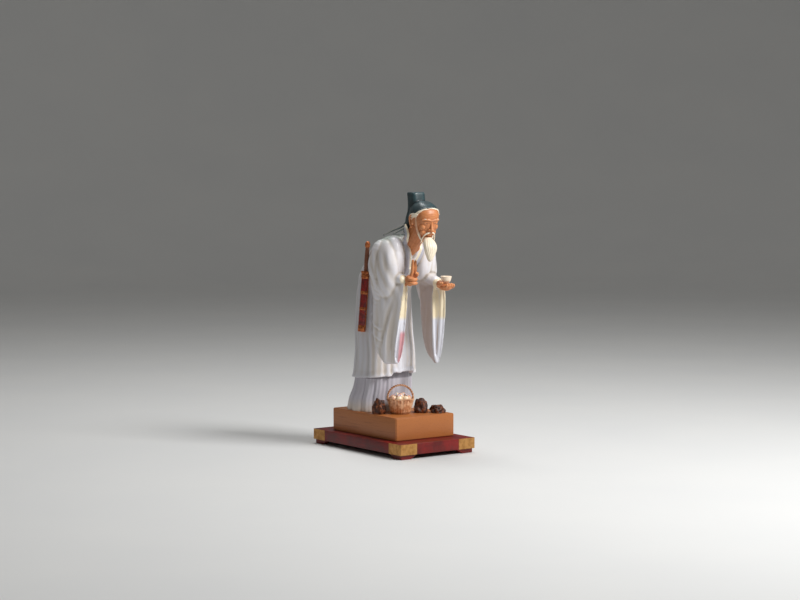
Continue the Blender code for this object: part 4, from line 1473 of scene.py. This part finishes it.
def head(bm):
    """Skull, face, nose, lips, cheeks, ears and neck."""
    blob(bm, skull_middle, skull_half, head_frame, skull_corner)
    blob(bm, (0, -10, -8), (22.5, 23, 30), head_frame)
    blob(bm, (0, -20, -32), (12, 11, 9), head_frame)
    brow = [(-19, -24.5, 6, 2.4), (-10, -29.8, 7.8, 2.6), (0, -30.6, 6.4, 2.4)]
    brow += [(10, -29.8, 7.8, 2.6), (19, -24.5, 6, 2.4)]
    tube(bm, brow, head_frame)
    tube(bm, [(0, -30, 4, 2.4), (0, -33, -3, 2.5), (0, -36.4, -10, 3.3)], head_frame)
    blob(bm, (0, -37.4, -12.3), (4.0, 4.0, 3.6), head_frame)
    upper_lip = [(-8, -30.6, -23, 0.8), (-3, -33.4, -21.8, 1.5), (0, -33.4, -22.3, 1.3)]
    upper_lip += [(3, -33.4, -21.8, 1.5), (8, -30.6, -23, 0.8)]
    tube(bm, upper_lip, head_frame)
    tube(bm, [(-6.5, -31, -24.7, 0.9), (0, -33, -25.4, 1.8), (6.5, -31, -24.7, 0.9)], head_frame)
    for side in (-1, 1):
        middle = Vector((side * eye_out, eye_depth, eye_height))
        blob(bm, middle, (eye_radius + 1.9, eye_radius + lid_thickness, eye_radius), head_frame)
        blob(bm, (side * 4.3, -34.2, -13.4), (2.7, 3.5, 2.7), head_frame)
        blob(bm, (side * 14, -22, -10), (8, 7.6, 8), head_frame)
        blob(bm, (side * 11, -23, -22), (8, 7, 8), head_frame)
        ear = [(27, 1, 5, 1.6), (30, 7, 4, 2), (30.5, 9, -4, 2), (29, 5, -14, 2), (27, 1, -20, 2.6)]
        tube(bm, [(side * x, y, z, r) for x, y, z, r in ear], head_frame)
        blob(bm, (side * 26, 3, -7), (3.4, 5.5, 10), head_frame)
    tube(bm, [(0, -50, 350, 20), (2, -76, 380, 20), (4, -94, 402, 20)])
    tube(bm, [(-4, -68, 352, 8), (1, -85, 376, 5), (-2, -96, 396, 4)], flat=0.7)
    tube(bm, [(12, -68, 352, 8), (9, -85, 376, 5), (12, -96, 396, 4)], flat=0.7)


def open_lids(mesh):
    """Sinks the clay inside each half closed eye's almond opening, so that the ball shows."""
    world = np.array(figure_to_world @ head_frame)
    away = np.linalg.inv(world)
    points = places(mesh)
    for side in (-1, 1):
        middle = np.array((side * eye_out, eye_depth, eye_height))
        local = points @ away[:3, :3].T + away[:3, 3] - middle
        reach = np.linalg.norm(local, axis=1)
        turn = np.arctan2(local[:, 0], -local[:, 1])
        rise = np.arcsin(np.clip(local[:, 2] / np.maximum(reach, 1e-6), -1, 1))
        corner = np.clip(1 - (turn / lid_reach) ** 2, 0, 1) ** 0.8
        upper, lower = 0.05 * corner - 0.05, -0.30 * corner - 0.05
        open_share = smooth_step(0.0, 0.09, upper - rise) * smooth_step(0.0, 0.09, rise - lower)
        open_share *= (reach < eye_radius + 4) & (local[:, 1] < 0)
        push = -local / np.maximum(reach, 1e-6)[:, None] * (lid_thickness + 0.9)
        points = points + open_share[:, None] * (push @ world[:3, :3].T)
    put(mesh, points)


def press(mesh, centre, sizes, push):
    """Presses or draws the clay round a spot; push is in the head's millimetres."""
    world = np.array(figure_to_world @ head_frame)
    away = np.linalg.inv(world)
    points = places(mesh)
    local = points @ away[:3, :3].T + away[:3, 3]
    gap = ((local - np.array(centre)) / np.array(sizes)) ** 2
    share = np.exp(-gap.sum(1))
    put(mesh, points + share[:, None] * (world[:3, :3] @ np.array(push)))


def crease(mesh):
    """Hollows the ears and presses the folds beside the nose, over the lids and on the brow."""
    for side in (-1, 1):
        press(mesh, (side * 27, 4, -4), (4, 3.0, 6.0), (-side * 1.2, 0, 0))
        for k in range(7):
            share = k / 6
            fold = (side * (6.5 + 7.5 * share), -36 + 5 * share, -12 - 11 * share)
            press(mesh, fold, (1.5, 6, 2.2), (0, 0.4, 0))
            lid_fold = (side * (4.5 + 2.0 * k), -29.5 + 0.28 * (k - 3) ** 2, 4.6 + 0.5 * math.sin(k / 2))
            press(mesh, lid_fold, (1.4, 4, 0.9), (0, 0.4, 0))
    for k in range(3):
        for i in range(9):
            x = -16 + 4 * i
            press(mesh, (x, -33, 15 + 4.5 * k - 0.012 * x * x), (3.0, 8, 0.9), (0, 0.22, 0))
    press(mesh, (0, -35, -28.8), (7, 6, 1.8), (0, 1.0, 0))


def finger(bm, points):
    """Finger with thicker joints, through (x, y, z, radius) points."""
    tube(bm, points, sides=18, steps=10)


def hands(bm):
    """Right hand closed with two raised fingers, left hand open and flat under the cup."""
    tube(bm, [(-36, -74, 280, 9), (-30, -88, 285, 8.0), (-26, -97, 289, 9)])
    blob(bm, right_hand, (11, 11.5, 12.5))
    for k in range(2):
        x = -27 + 7 * k
        raised = [(x, -103, 298, 4.2), (x + 0.5, -105, 306, 3.6), (x + 1, -106, 315, 3.8)]
        finger(bm, raised + [(x + 1.6, -105.6, 323, 3.1), (x + 2, -105, 331 - 2 * k, 2.7)])
    for k in range(2):
        z = 292 - 8 * k
        knuckles = [(-34, -104, z, 4), (-30, -110.5, z - 1, 4.2), (-24, -112.5, z - 1, 3.7)]
        finger(bm, knuckles + [(-18, -108, z - 1, 3.5)])
    thumb = [(-18, -98, 293, 4.6), (-15.5, -105, 299, 3.8), (-17, -110, 303, 3.7)]
    finger(bm, thumb + [(-22, -112, 305, 3.0)])
    tube(bm, [(50, -80, 282, 9), (50, -98, 279, 8.0), (50, -112, 275, 9)])
    blob(bm, left_palm, (12.5, 17, 8.0))
    for k in range(4):
        x = 41.5 + 5.8 * k
        tip = 281 - 1.5 * abs(k - 1.5)
        curl = [(x, -126, 273, 3.6), (x, -131, 273.2, 3.8), (x, -135.5, 274, 3.3)]
        finger(bm, curl + [(x, -138, 277, 3.2), (x, -138.5, tip, 2.5)])
    thumb = [(39, -112, 275, 4.3), (35.5, -118, 277.5, 3.6), (34.8, -123.5, 280, 3.7)]
    finger(bm, thumb + [(36, -128, 282, 2.8)])


body = bmesh.new()
head(body)
head_mesh = one_skin(body, "head_clay", head_grain, 2)
crease(head_mesh)
paint_hollows(head_mesh, 6, 0.0005)
open_lids(head_mesh)

bare_clay = Finish("bare_clay", {"Roughness": 0.45, "Coat Weight": 0.08, "Coat Roughness": 0.3})
# Painted shade: the skin turns from its light tone to its mid tone and then to dark brown the deeper it lies
# in a hollow, with random mottle on top.
flesh_hollow = bare_clay.painted("hollow")
mottle = bare_clay.clouds(clay_mottle, detail=4.0)
skin = bare_clay.mix((flesh_hollow + 0.4 * mottle - 0.2).between(0.3, 0.62), flesh_light, flesh_mid)
bare_clay.give("Base Color", bare_clay.mix(flesh_hollow.between(0.62, 1.0), skin, flesh_shade))
bare_clay.give("Roughness", 0.34 + 0.24 * mottle)
bare_clay.relief(bare_clay.clouds(clay_pores, detail=3.0), 0.0001)
piece("head_clay", head_mesh, bare_clay, ["figure"])

both_hands = bmesh.new()
hands(both_hands)
hand_mesh = one_skin(both_hands, "hand_clay", hand_grain, 2)
paint_hollows(hand_mesh, 5, 0.0005)
piece("hand_clay", hand_mesh, bare_clay, ["figure"])


# Eyes: two balls of white glaze set in the sockets behind the lids, a dark iris painted on each.
# They look down, half closed.
iris_share = 0.42
iris_edge = 0.12
lid_gap = 0.35
eye_white = (226, 216, 200)
eye_warm = (206, 186, 164)
iris_dark = (52, 36, 28)

eyes = bmesh.new()
iris_values = []
look = Vector((0, -1, -0.26)).normalized()
for side in (-1, 1):
    middle = Vector((side * eye_out, eye_depth, eye_height))
    first = len(eyes.verts)
    blob(eyes, middle, (eye_radius - lid_gap,) * 3, head_frame)
    eyes.verts.ensure_lookup_table()
    for v in eyes.verts[first:]:
        aim_to = (head_frame.inverted() @ v.co - middle).normalized()
        gap = aim_to.cross(look).length
        iris_values.append(ease(iris_share, iris_share - iris_edge, gap) if aim_to.y < 0 else 0.0)
set_down(eyes)
eye_mesh = mesh_of(eyes, "eyes")
paint(eye_mesh, "iris", np.array(iris_values))

eye_glaze = Finish("eye_glaze", {"Roughness": 0.2, "Coat Weight": 0.4})
eye_tone = eye_glaze.mix(eye_glaze.clouds(0.003), eye_white, eye_warm)
eye_glaze.give("Base Color", eye_glaze.mix(eye_glaze.painted("iris"), eye_tone, iris_dark))
piece("eyes", eye_mesh, eye_glaze, ["figure"])


# Hair and beard: locks rolled from white clay and combed with a needle, laid on the bare head.
# A roll of hair shows under the cap, whiskers run down the jaw into a full hanging beard.
rim_tilt = math.radians(52)
cap_thickness = 1.5
hair_grain = 0.0006
hair_mottle = 0.006
needle_width = 0.0008
hair_light = (248, 234, 210)
hair_dark = (196, 172, 138)


def on_skull(direction, cover):
    """Point of the skull's surface in a direction from its middle, plus a cover."""
    power = 2 / skull_corner
    total = sum(abs(d / half) ** power for d, half in zip(direction, skull_half))
    return skull_middle + direction * (total ** (-1 / power) + cover)


def cap_direction(angle, rise):
    """Direction from the skull's middle: round the rim, and from the rim up to the cap's pole."""
    ahead = Vector((0, -math.cos(rim_tilt), math.sin(rim_tilt)))
    pole = Vector((0, math.sin(rim_tilt), math.cos(rim_tilt)))
    around = Vector((1, 0, 0)) * math.cos(angle) + ahead * math.sin(angle)
    return around * math.cos(rise) + pole * math.sin(rise)


beard_sizes = [(0.0, 6, 6), (0.15, 12, 9), (0.35, 15, 10), (0.6, 13, 8), (0.9, 6, 5), (1.0, 2, 2)]
beard_middles = [(0.0, -122), (0.2, -129), (0.45, -134), (1.0, -133)]
beard_top = 380
beard_length = 51


def beard_point(share, angle, cover):
    """Point of the beard's surface from chin to tip."""
    wide, deep = along(beard_sizes, share)
    centre = Vector((1 - 2 * share, along(beard_middles, share)[0], beard_top - beard_length * share))
    return centre + Vector(((wide + cover) * math.cos(angle), (deep + cover) * math.sin(angle), 0))


def lock(bm, points, side):
    """Rolled lock on the head, on its right (-1) or left (1) side."""
    tube(bm, [(side * x, y, z, radius) for x, y, z, radius in points], head_frame, sides=12, steps=6)


hair_clay = Finish("white_clay", {"Roughness": 0.5, "Coat Weight": 0.1, "Coat Roughness": 0.3})
# Darker in the combed grooves and hollows: painted shade, with random mottle.
hair_hollow = hair_clay.painted("hollow")
hair_cloud = hair_clay.clouds(hair_mottle)
hair_groove_shade = (hair_hollow + 0.3 * hair_cloud - 0.15).between(0.45, 0.95)
hair_tone = hair_clay.mix(hair_groove_shade, hair_light, hair_dark)
sparse = hair_clay.painted("sparse") * (0.55 + 0.4 * hair_cloud)
hair_clay.give("Base Color", hair_clay.mix(sparse, hair_tone, flesh_light))
hair_clay.give("Roughness", 0.4 + 0.25 * hair_cloud)
hair_clay.relief(hair_clay.clouds(needle_width, (1, 1, 8)), 0.00012)

hair = bmesh.new()
for ring_rise, radius, phase in ((0.02, 1.9, 0.0), (-0.05, 1.5, 1.4)):
    points = []
    for i in range(49):
        t = 2 * math.pi * i / 48
        at_side = math.cos(t) ** 2
        spot = on_skull(cap_direction(t, ring_rise - 0.05 * at_side + 0.02 * math.cos(11 * t + phase)), 0.4)
        points.append((*spot, radius * (0.6 + 0.55 * at_side + 0.15 * math.cos(5 * t + phase))))
    tube(hair, points, head_frame, sides=12, steps=4)
beard_rings = []
for i in range(49):
    share = i / 48
    ring = []
    for t in turns(120):
        combed = 0.9 * abs(math.cos(9 * t + 2.2 * math.sin(4.4 * share)))
        combed += 0.35 * math.cos(31 * t + 5 * share)
        ring.append(beard_point(share, t, combed * (1.0 - 0.5 * share)))
    beard_rings.append(ring)
loft(hair, beard_rings)
for side in (-1, 1):
    for k in range(3):
        s = k - 1
        moustache = [
            (1.8 + 0.3 * k, -37 + 0.2 * k, -18.0 - 0.4 * k, 0.8),
            (7 + 0.5 * k, -35.4, -19.4 - 0.9 * k, 1.2),
            (12 + 0.5 * k, -31.6, -25 - 1.0 * k, 1.2),
            (15 + 0.6 * s, -29.3, -34 - 1.2 * k, 1.0),
            (15.5 + 0.9 * s, -28.5, -42 - 1.6 * k, 0.5),
        ]
        brow = [
            (6.5 + 1.5 * k, -31.6 + 0.3 * k, 7.4 + 0.4 * k, 0.6),
            (11 + 2.4 * k, -30.4 + 1.1 * k, 9.0 + 0.1 * k, 0.9),
            (14.5 + 2.4 * k, -28.0 + 1.6 * k, 7.6 - 0.7 * k, 0.8),
            (17 + 2.0 * k, -25.6 + 1.8 * k, 4.4 - 1.0 * k, 0.35),
        ]
        whisker = [
            (27.0 - 0.2 * k, -5 - 1.5 * k, 12 - 0.4 * k, 0.9),
            (26.2 - 0.4 * k, -7.5 - 1.5 * k, 0, 1.2),
            (23.8 - 0.5 * k, -10.5 - 1.6 * k, -14, 1.5),
            (18.8 - 0.7 * k, -16 - 1.5 * k, -28 - 0.6 * k, 1.8),
            (12.4 - 0.8 * k, -22 - 1.2 * k, -40 - 0.8 * k, 1.7),
        ]
        for strand in (moustache, brow, whisker):
            lock(hair, strand, side)
    for k in range(4):
        temple = [
            (26.5, -14 + 1.5 * k, 14 - 2.2 * k, 0.9),
            (28.4, -6 + 1.5 * k, 12 - 2.4 * k, 1.6),
            (29.0, 4 + 1.2 * k, 9 - 2.4 * k, 1.5),
            (28.2, 13 + 1.0 * k, 5 - 2.2 * k, 0.7),
        ]
        lock(hair, temple, side)
hair_mesh = one_skin(hair, "hair_locks", hair_grain, 1)
paint_hollows(hair_mesh, 4, 0.0003)
locks_at = figure_points(hair_mesh)
jaw_side = smooth_step(19, 22, np.abs(locks_at[:, 0] - 4)) * smooth_step(426, 418, locks_at[:, 2])
paint(hair_mesh, "sparse", jaw_side * smooth_step(372, 384, locks_at[:, 2]))
piece("hair_locks", hair_mesh, hair_clay, ["figure"])


# Cap: soft black-green cloth with a square crown, a fall over the nape and two tails that lie
# over the collar, modelled thin and glazed dark, with a pale line along the tails' edges.
cap_grain = 0.0008
crown_low = 425
crown_rise = 49.9
tail_width = 6.0
cap_mottle = 0.012
cap_light = (52, 74, 78)
cap_dark = (22, 34, 38)
cap_edge = (196, 196, 190)


def cap(bm):
    """Soft cap over the skull, its rolled rim, the square crown and the fall over the nape."""
    rings = []
    for i in range(25):
        rise = math.radians(86) * i / 24
        points = []
        for t in turns(120):
            fold = 0.35 * math.cos(9 * t) * math.cos(rise) * math.sin(math.pi * i / 24)
            points.append(head_frame @ on_skull(cap_direction(t, rise), cap_thickness + fold))
        rings.append(points)
    loft(bm, rings)
    rim = [on_skull(cap_direction(2 * math.pi * i / 36, 0.03), cap_thickness - 0.3) for i in range(37)]
    tube(bm, [(*point, 1.5) for point in rim], head_frame, sides=10, steps=3)
    crown = []
    for i in range(31):
        share = i / 30
        close = 1 - 0.09 * ease(0.94, 1.0, share)
        wide, deep = (16 + 1.0 * share) * close, (15.5 - 0.5 * share) * close
        middle = Vector((1.5, -80 - 3.0 * math.sin(math.pi * share), crown_low + crown_rise * share))
        crown.append([middle + Vector((wide * x, deep * y, 0)) for x, y in rounded(96, 0.55)])
    loft(bm, crown)
    tube(bm, [(1, -74, 436, 15), (1, -68, 420, 16), (1, -63, 404, 15), (0, -56, 390, 13)], flat=0.5)


def tail(bm, points, width):
    """Flat cloth tail with a raised hem along each edge."""
    rows = [(i, *point) for i, point in enumerate(points)]
    rings = []
    count = (len(points) - 1) * 12
    spine = [Vector(along(rows, i / 12)[:3]) for i in range(count + 1)]
    for i, centre in enumerate(spine):
        share = i / count
        ahead = (spine[min(i + 1, count)] - spine[max(i - 1, 0)]).normalized()
        side = ahead.cross(Vector((0, 0, 1))).normalized()
        up = side.cross(ahead)
        half = width * (1 - 0.25 * share) * (1 - 0.5 * ease(0.93, 1.0, share))
        ring = []
        for across, over in rounded(36, 0.7):
            hem = 0.5 * ease(0.62, 0.95, abs(across))
            wave = 0.7 * math.sin(7 * share + 1.5 * across)
            ring.append(centre + side * half * across + up * (wave + (1.5 + hem) * over))
        rings.append(ring)
    loft(bm, rings)


def paint_edges(mesh, tails):
    """Pale line along both edges of each tail."""
    x, y, z = figure_points(mesh).T
    edges = np.zeros(len(x))
    for points in tails:
        tail_x, tail_y, _ = np.array(points).T
        aside = np.abs(x - np.interp(y, tail_y, tail_x))
        edges = np.maximum(edges, smooth_step(3.9, 4.5, aside) * (aside < 8))
    paint(mesh, "edge", edges * smooth_step(-58, -50, y))


near_tail = [(-3, -64, 415), (-7, -42, 401), (-13, -16, 392), (-20, 6, 381)]
far_tail = [(5, -64, 415), (7, -42, 400), (7, -18, 392), (4, 4, 383)]
headgear = bmesh.new()
cap(headgear)
tail(headgear, near_tail, tail_width)
tail(headgear, far_tail, tail_width)
cap_mesh = one_skin(headgear, "cap_cloth", cap_grain, 2)
paint_hollows(cap_mesh, 5, 0.0005)
paint_edges(cap_mesh, (near_tail, far_tail))

cap_glaze = Finish("dark_glaze", {"Roughness": 0.4, "Coat Weight": 0.25, "Coat Roughness": 0.2})
cap_cloud = cap_glaze.clouds(cap_mottle, detail=4.0)
# Darker in the folds: partly glaze pooling, partly painted shade, with random mottle.
cap_pool_and_shade = (cap_glaze.painted("hollow") + 0.6 * cap_cloud - 0.3).between(0.25, 0.75)
cap_tone = cap_glaze.mix(cap_pool_and_shade, cap_light, cap_dark)
cap_glaze.give("Base Color", cap_glaze.mix(cap_glaze.painted("edge"), cap_tone, cap_edge))
cap_glaze.give("Roughness", 0.3 + 0.3 * cap_cloud)
cap_glaze.relief(cap_glaze.clouds(0.0014), 0.00015)
piece("cap_cloth", cap_mesh, cap_glaze, ["figure"])


# Cup: a small thrown wine cup, cream glaze run thick inside, a bare ring under its foot.
# It stands loose in the open left palm.
palm_top = 280.5
cup_rim_radius = 0.0120
cup_foot_radius = 0.0062
cup_height = 0.0160
cup_wall = 0.0014
cup_stem_radius = cup_foot_radius * 1.25
bowl_foot = 0.0034
bowl_height = cup_height - 0.0040
cup_mottle = 0.008
cup_cream = (244, 226, 200)
cup_warm = (214, 160, 120)


def bowl_radius(share):
    """Outside radius at a share of the bowl's height."""
    return cup_stem_radius + (cup_rim_radius - cup_stem_radius) * share**0.62


cup_profile = [
    (axis_gap, 0.0),
    (cup_foot_radius - 0.0004, 0.0),
    (cup_foot_radius, 0.0004),
    (cup_foot_radius, 0.0020),
    (cup_stem_radius, bowl_foot),
]
for i in range(1, 13):
    cup_profile.append((bowl_radius(i / 12), bowl_foot + bowl_height * i / 12))
cup_profile.append((cup_rim_radius - cup_wall / 2, cup_height))
for i in range(12, -1, -1):
    share = i / 12
    height = bowl_foot + cup_wall * (1 - share) + bowl_height * share
    cup_profile.append((bowl_radius(share) - cup_wall, height))
cup_profile.append((axis_gap, bowl_foot + cup_wall * 0.7))
cup_spot = figure_to_world @ Vector((left_palm.x, left_palm.y - 2, palm_top))
cup = bmesh.new()
turned(cup, cup_profile, 72, Matrix.Translation(cup_spot))

cup_glaze = Finish("cream_glaze", {"Roughness": 0.18, "Coat Weight": 0.6, "Coat Roughness": 0.05})
cup_cloud = cup_glaze.clouds(cup_mottle)
run_down = 1 - (cup_glaze.part(2) - cup_spot.z + 0.004 * cup_cloud).between(0.003, 0.011)
cup_glaze.give("Base Color", cup_glaze.mix(run_down * 0.7, cup_cream, cup_warm))
cup_glaze.give("Roughness", 0.14 + 0.16 * cup_cloud)
piece("cup_body", mesh_of(cup, "cup_body"), cup_glaze, ["cup"], 50)


# Sword: a straight sword in its scabbard, slung at the right side of the back. Red glaze on the
# scabbard, gold on its bands, edges and tip, a bronze guard, and a brown bound grip.
sword_foot = Vector((-69, 20, 174))
sword_head = Vector((-59, 11, 362))
sword_flat = Vector((-0.55, 0.84, 0))
scabbard_length = 0.126
scabbard_width = 0.016
scabbard_thickness = 0.0125
scabbard_bands = [(0.0, 0.014, 1.0), (0.047, 0.053, 1.0), (0.081, 0.088, 1.0)]
guard_width = 0.019
guard_height = 0.005
grip_length = 0.052
grip_thickness = 0.008
cord_turns = 14
cord_rise = 0.00025
cord_lines = 2600
pommel_length = 0.012
pommel_width = 0.0105
scabbard_mottle = 0.008
gilt_wear = 0.004
scabbard_red = (142, 22, 9)
scabbard_deep = (96, 13, 6)
gold_light = (200, 120, 70)
gold_dark = (140, 68, 36)
grip_brown = (150, 92, 64)
grip_dark = (76, 42, 32)

sword_start = figure_to_world @ sword_foot
sword_up = (figure_to_world @ sword_head - sword_start).normalized()
sword_back = (sword_flat - sword_up * sword_up.dot(sword_flat)).normalized()
sword_side = sword_back.cross(sword_up)
sword_turn = Matrix((sword_side, sword_back, sword_up)).transposed().to_4x4()
sword_frame = Matrix.Translation(sword_start) @ sword_turn


def sword_part(bm, sections, corner=0.55):
    """Body over (height, width, depth) sections along the sword."""
    rings = []
    for height, wide, deep in sections:
        section = [Vector((deep / 2 * x, wide / 2 * y, height)) for x, y in rounded(48, corner)]
        rings.append([sword_frame @ point for point in section])
    loft(bm, rings)


def collar_band(bm, low, high, grow):
    """Raised metal band round the scabbard, its edges eased."""
    wide, deep = scabbard_width * grow, scabbard_thickness * grow
    shares = [(low, 0.96), (low + 0.0005, 1.0), ((low + high) / 2, 1.01), (high - 0.0005, 1.0), (high, 0.96)]
    sword_part(bm, [(height, wide * share, deep * share) for height, share in shares])


red_glaze = Finish("red_glaze", {"Roughness": 0.3, "Coat Weight": 0.3, "Coat Roughness": 0.12})
red_cloud = red_glaze.clouds(scabbard_mottle, detail=4.0)
red_glaze.give("Base Color", red_glaze.mix(red_cloud.between(0.35, 0.68), scabbard_red, scabbard_deep))
red_glaze.give("Roughness", 0.2 + 0.2 * red_cloud)
red_glaze.relief(red_glaze.clouds(0.003), 0.00015)
scabbard = bmesh.new()
wide, deep = scabbard_width, scabbard_thickness
scabbard_sections = [(0.003, wide * 0.8, deep * 0.75), (0.012, wide * 0.93, deep * 0.92)]
for height in (scabbard_length * 0.6, scabbard_length - 0.001):
    scabbard_sections.append((height, wide * 0.95, deep * 0.94))
sword_part(scabbard, scabbard_sections)
piece("scabbard_body", mesh_of(scabbard, "scabbard_body"), red_glaze, ["sword"], 50)

gilt = Finish("gold_lustre", {"Metallic": 0.55, "Roughness": 0.35})
gilt_cloud = gilt.clouds(gilt_wear, detail=4.0)
gilt.give("Base Color", gilt.mix(gilt_cloud.between(0.38, 0.66), gold_light, gold_dark))
gilt.give("Roughness", 0.26 + 0.28 * gilt_cloud)
gilt.relief(gilt_cloud, 0.0002)
fittings = bmesh.new()
top = scabbard_length
for low, high, grow in (*scabbard_bands, (0.115, top, 1.06)):
    collar_band(fittings, low, high, grow)
for edge in (-1, 1):
    rail = [(0, edge * scabbard_width * 0.475, h, 0.0011) for h in (0.006, 0.04, 0.08, 0.12)]
    tube(fittings, rail, sword_frame, sides=12)
grip_low = top + guard_height
grip_top = grip_low + grip_length
guard_shares = [(top, 0.9, 1.0), (top + 0.001, 1.0, 1.1), (grip_low - 0.001, 1.0, 1.1), (grip_low, 0.9, 1.0)]
sword_part(fittings, [(height, guard_width * w, deep * d) for height, w, d in guard_shares])
knob_shares = [(0.6, 1.03), (0.9, 0.7), (1.0, 0.4)]
knob_sizes = [(grip_top - 0.001, pommel_width * 0.85), (grip_top, pommel_width)]
knob_sizes += [(grip_top + pommel_length * up, pommel_width * share) for up, share in knob_shares]
sword_part(fittings, [(height, size, size) for height, size in knob_sizes], 0.8)
piece("sword_fittings", mesh_of(fittings, "sword_fittings"), gilt, ["sword"], 50)

bound = Finish("bound_grip", {"Roughness": 0.5})
bound_cloud = bound.clouds(0.004)
turn_of_cord = (bound.part(2) * cord_lines).math("SINE") * 0.5 + 0.5
bound.give("Base Color", bound.mix(turn_of_cord * 0.6 + bound_cloud * 0.3, grip_dark, grip_brown))
bound.give("Roughness", 0.4 + 0.25 * bound_cloud)
grip = bmesh.new()
grip_sections = []
for i in range(85):
    share = i / 84
    cord = cord_rise * math.cos(2 * math.pi * cord_turns * share)
    thick = grip_thickness * (0.95 + 0.17 * math.sin(math.pi * share)) + 2 * cord
    grip_sections.append((grip_low + grip_length * share, thick, thick))
sword_part(grip, grip_sections, 0.8)
piece("grip_cord", mesh_of(grip, "grip_cord"), bound, ["sword"])


# Floor, light and camera: a pale sweep, one large soft key from the right and front, a weaker
# light from above and behind, and the camera at the height and side from which it was seen.
floor_pale = (214, 214, 212)
floor_cool = (206, 207, 207)
floor_sides = 96
room_light = (222, 220, 217)
room_strength = 0.32
key_power = 74
key_size = 0.9
key_height = 2.0
top_power = 24
top_size = 1.0
top_height = 2.6
floor_flat = 5.2
floor_curve = 3.0
wall_top = 6.0
camera_turn = math.radians(-36.42)
camera_rise = math.radians(4.68)
camera_distance = 4.286
camera_lens = 88.9
camera_film = 36
aim_height = 0.28
aim_right = 0.0156
aim_up = 0.0423

paper = Finish("pale_paper", {"Roughness": 0.8})
paper.give("Base Color", paper.mix(paper.clouds(0.4), floor_pale, floor_cool))
sweep = [(floor_flat * i / 8, 0.0) for i in range(1, 9)]
for i in range(1, 13):
    t = math.pi / 2 * i / 12
    sweep.append((floor_flat + floor_curve * math.sin(t), floor_curve * (1 - math.cos(t))))
sweep.append((floor_flat + floor_curve, wall_top))
ground = bmesh.new()
sweep_rows = rows_of(ground, [circle(radius, height, floor_sides) for radius, height in sweep])
wall(ground, sweep_rows[::-1])
floor_middle = ground.verts.new((0, 0, 0))
for i in range(floor_sides):
    ground.faces.new((floor_middle, sweep_rows[0][i], sweep_rows[0][(i + 1) % floor_sides]))
floor_mesh = bpy.data.meshes.new("floor")
ground.to_mesh(floor_mesh)
ground.free()
floor_mesh.shade_smooth()
floor = bpy.data.objects.new("floor", floor_mesh)
floor_mesh.materials.append(paper.material)
bpy.context.scene.collection.objects.link(floor)

flat_back = Vector((math.sin(camera_turn), -math.cos(camera_turn), 0))
back = flat_back * math.cos(camera_rise) + Vector((0, 0, math.sin(camera_rise)))
right = Vector((math.cos(camera_turn), math.sin(camera_turn), 0))
up = back.cross(right)
eye = Vector((0, 0, aim_height)) + back * camera_distance
target = Vector((0, 0, aim_height)) + right * aim_right + up * aim_up
lens = bpy.data.cameras.new("view")
lens.lens = camera_lens
lens.sensor_width = camera_film
lens.clip_end = 60
camera = bpy.data.objects.new("view", lens)
camera.location = eye
camera.rotation_euler = (target - eye).to_track_quat("-Z", "Y").to_euler()
bpy.context.scene.collection.objects.link(camera)
bpy.context.scene.camera = camera


def soft_light(name, spot, size, power):
    """Square soft light that faces the statue's middle."""
    lamp = bpy.data.lights.new(name, "AREA")
    lamp.size = size
    lamp.energy = power
    thing = bpy.data.objects.new(name, lamp)
    thing.location = spot
    thing.rotation_euler = (Vector((0, 0, aim_height)) - spot).to_track_quat("-Z", "Y").to_euler()
    bpy.context.scene.collection.objects.link(thing)


key_spot = flat_back * 1.1 + right * 1.7 + Vector((0, 0, key_height))
soft_light("key", key_spot, key_size, key_power)
top_spot = Vector((0, 0, top_height)) - flat_back * 0.7 - right * 0.3
soft_light("top", top_spot, top_size, top_power)
world = bpy.data.worlds.new("room")
world.use_nodes = True
room = world.node_tree.nodes["Background"]
room.inputs["Color"].default_value = tint(room_light)
room.inputs["Strength"].default_value = room_strength
bpy.context.scene.world = world
bpy.context.scene.view_settings.view_transform = "Standard"
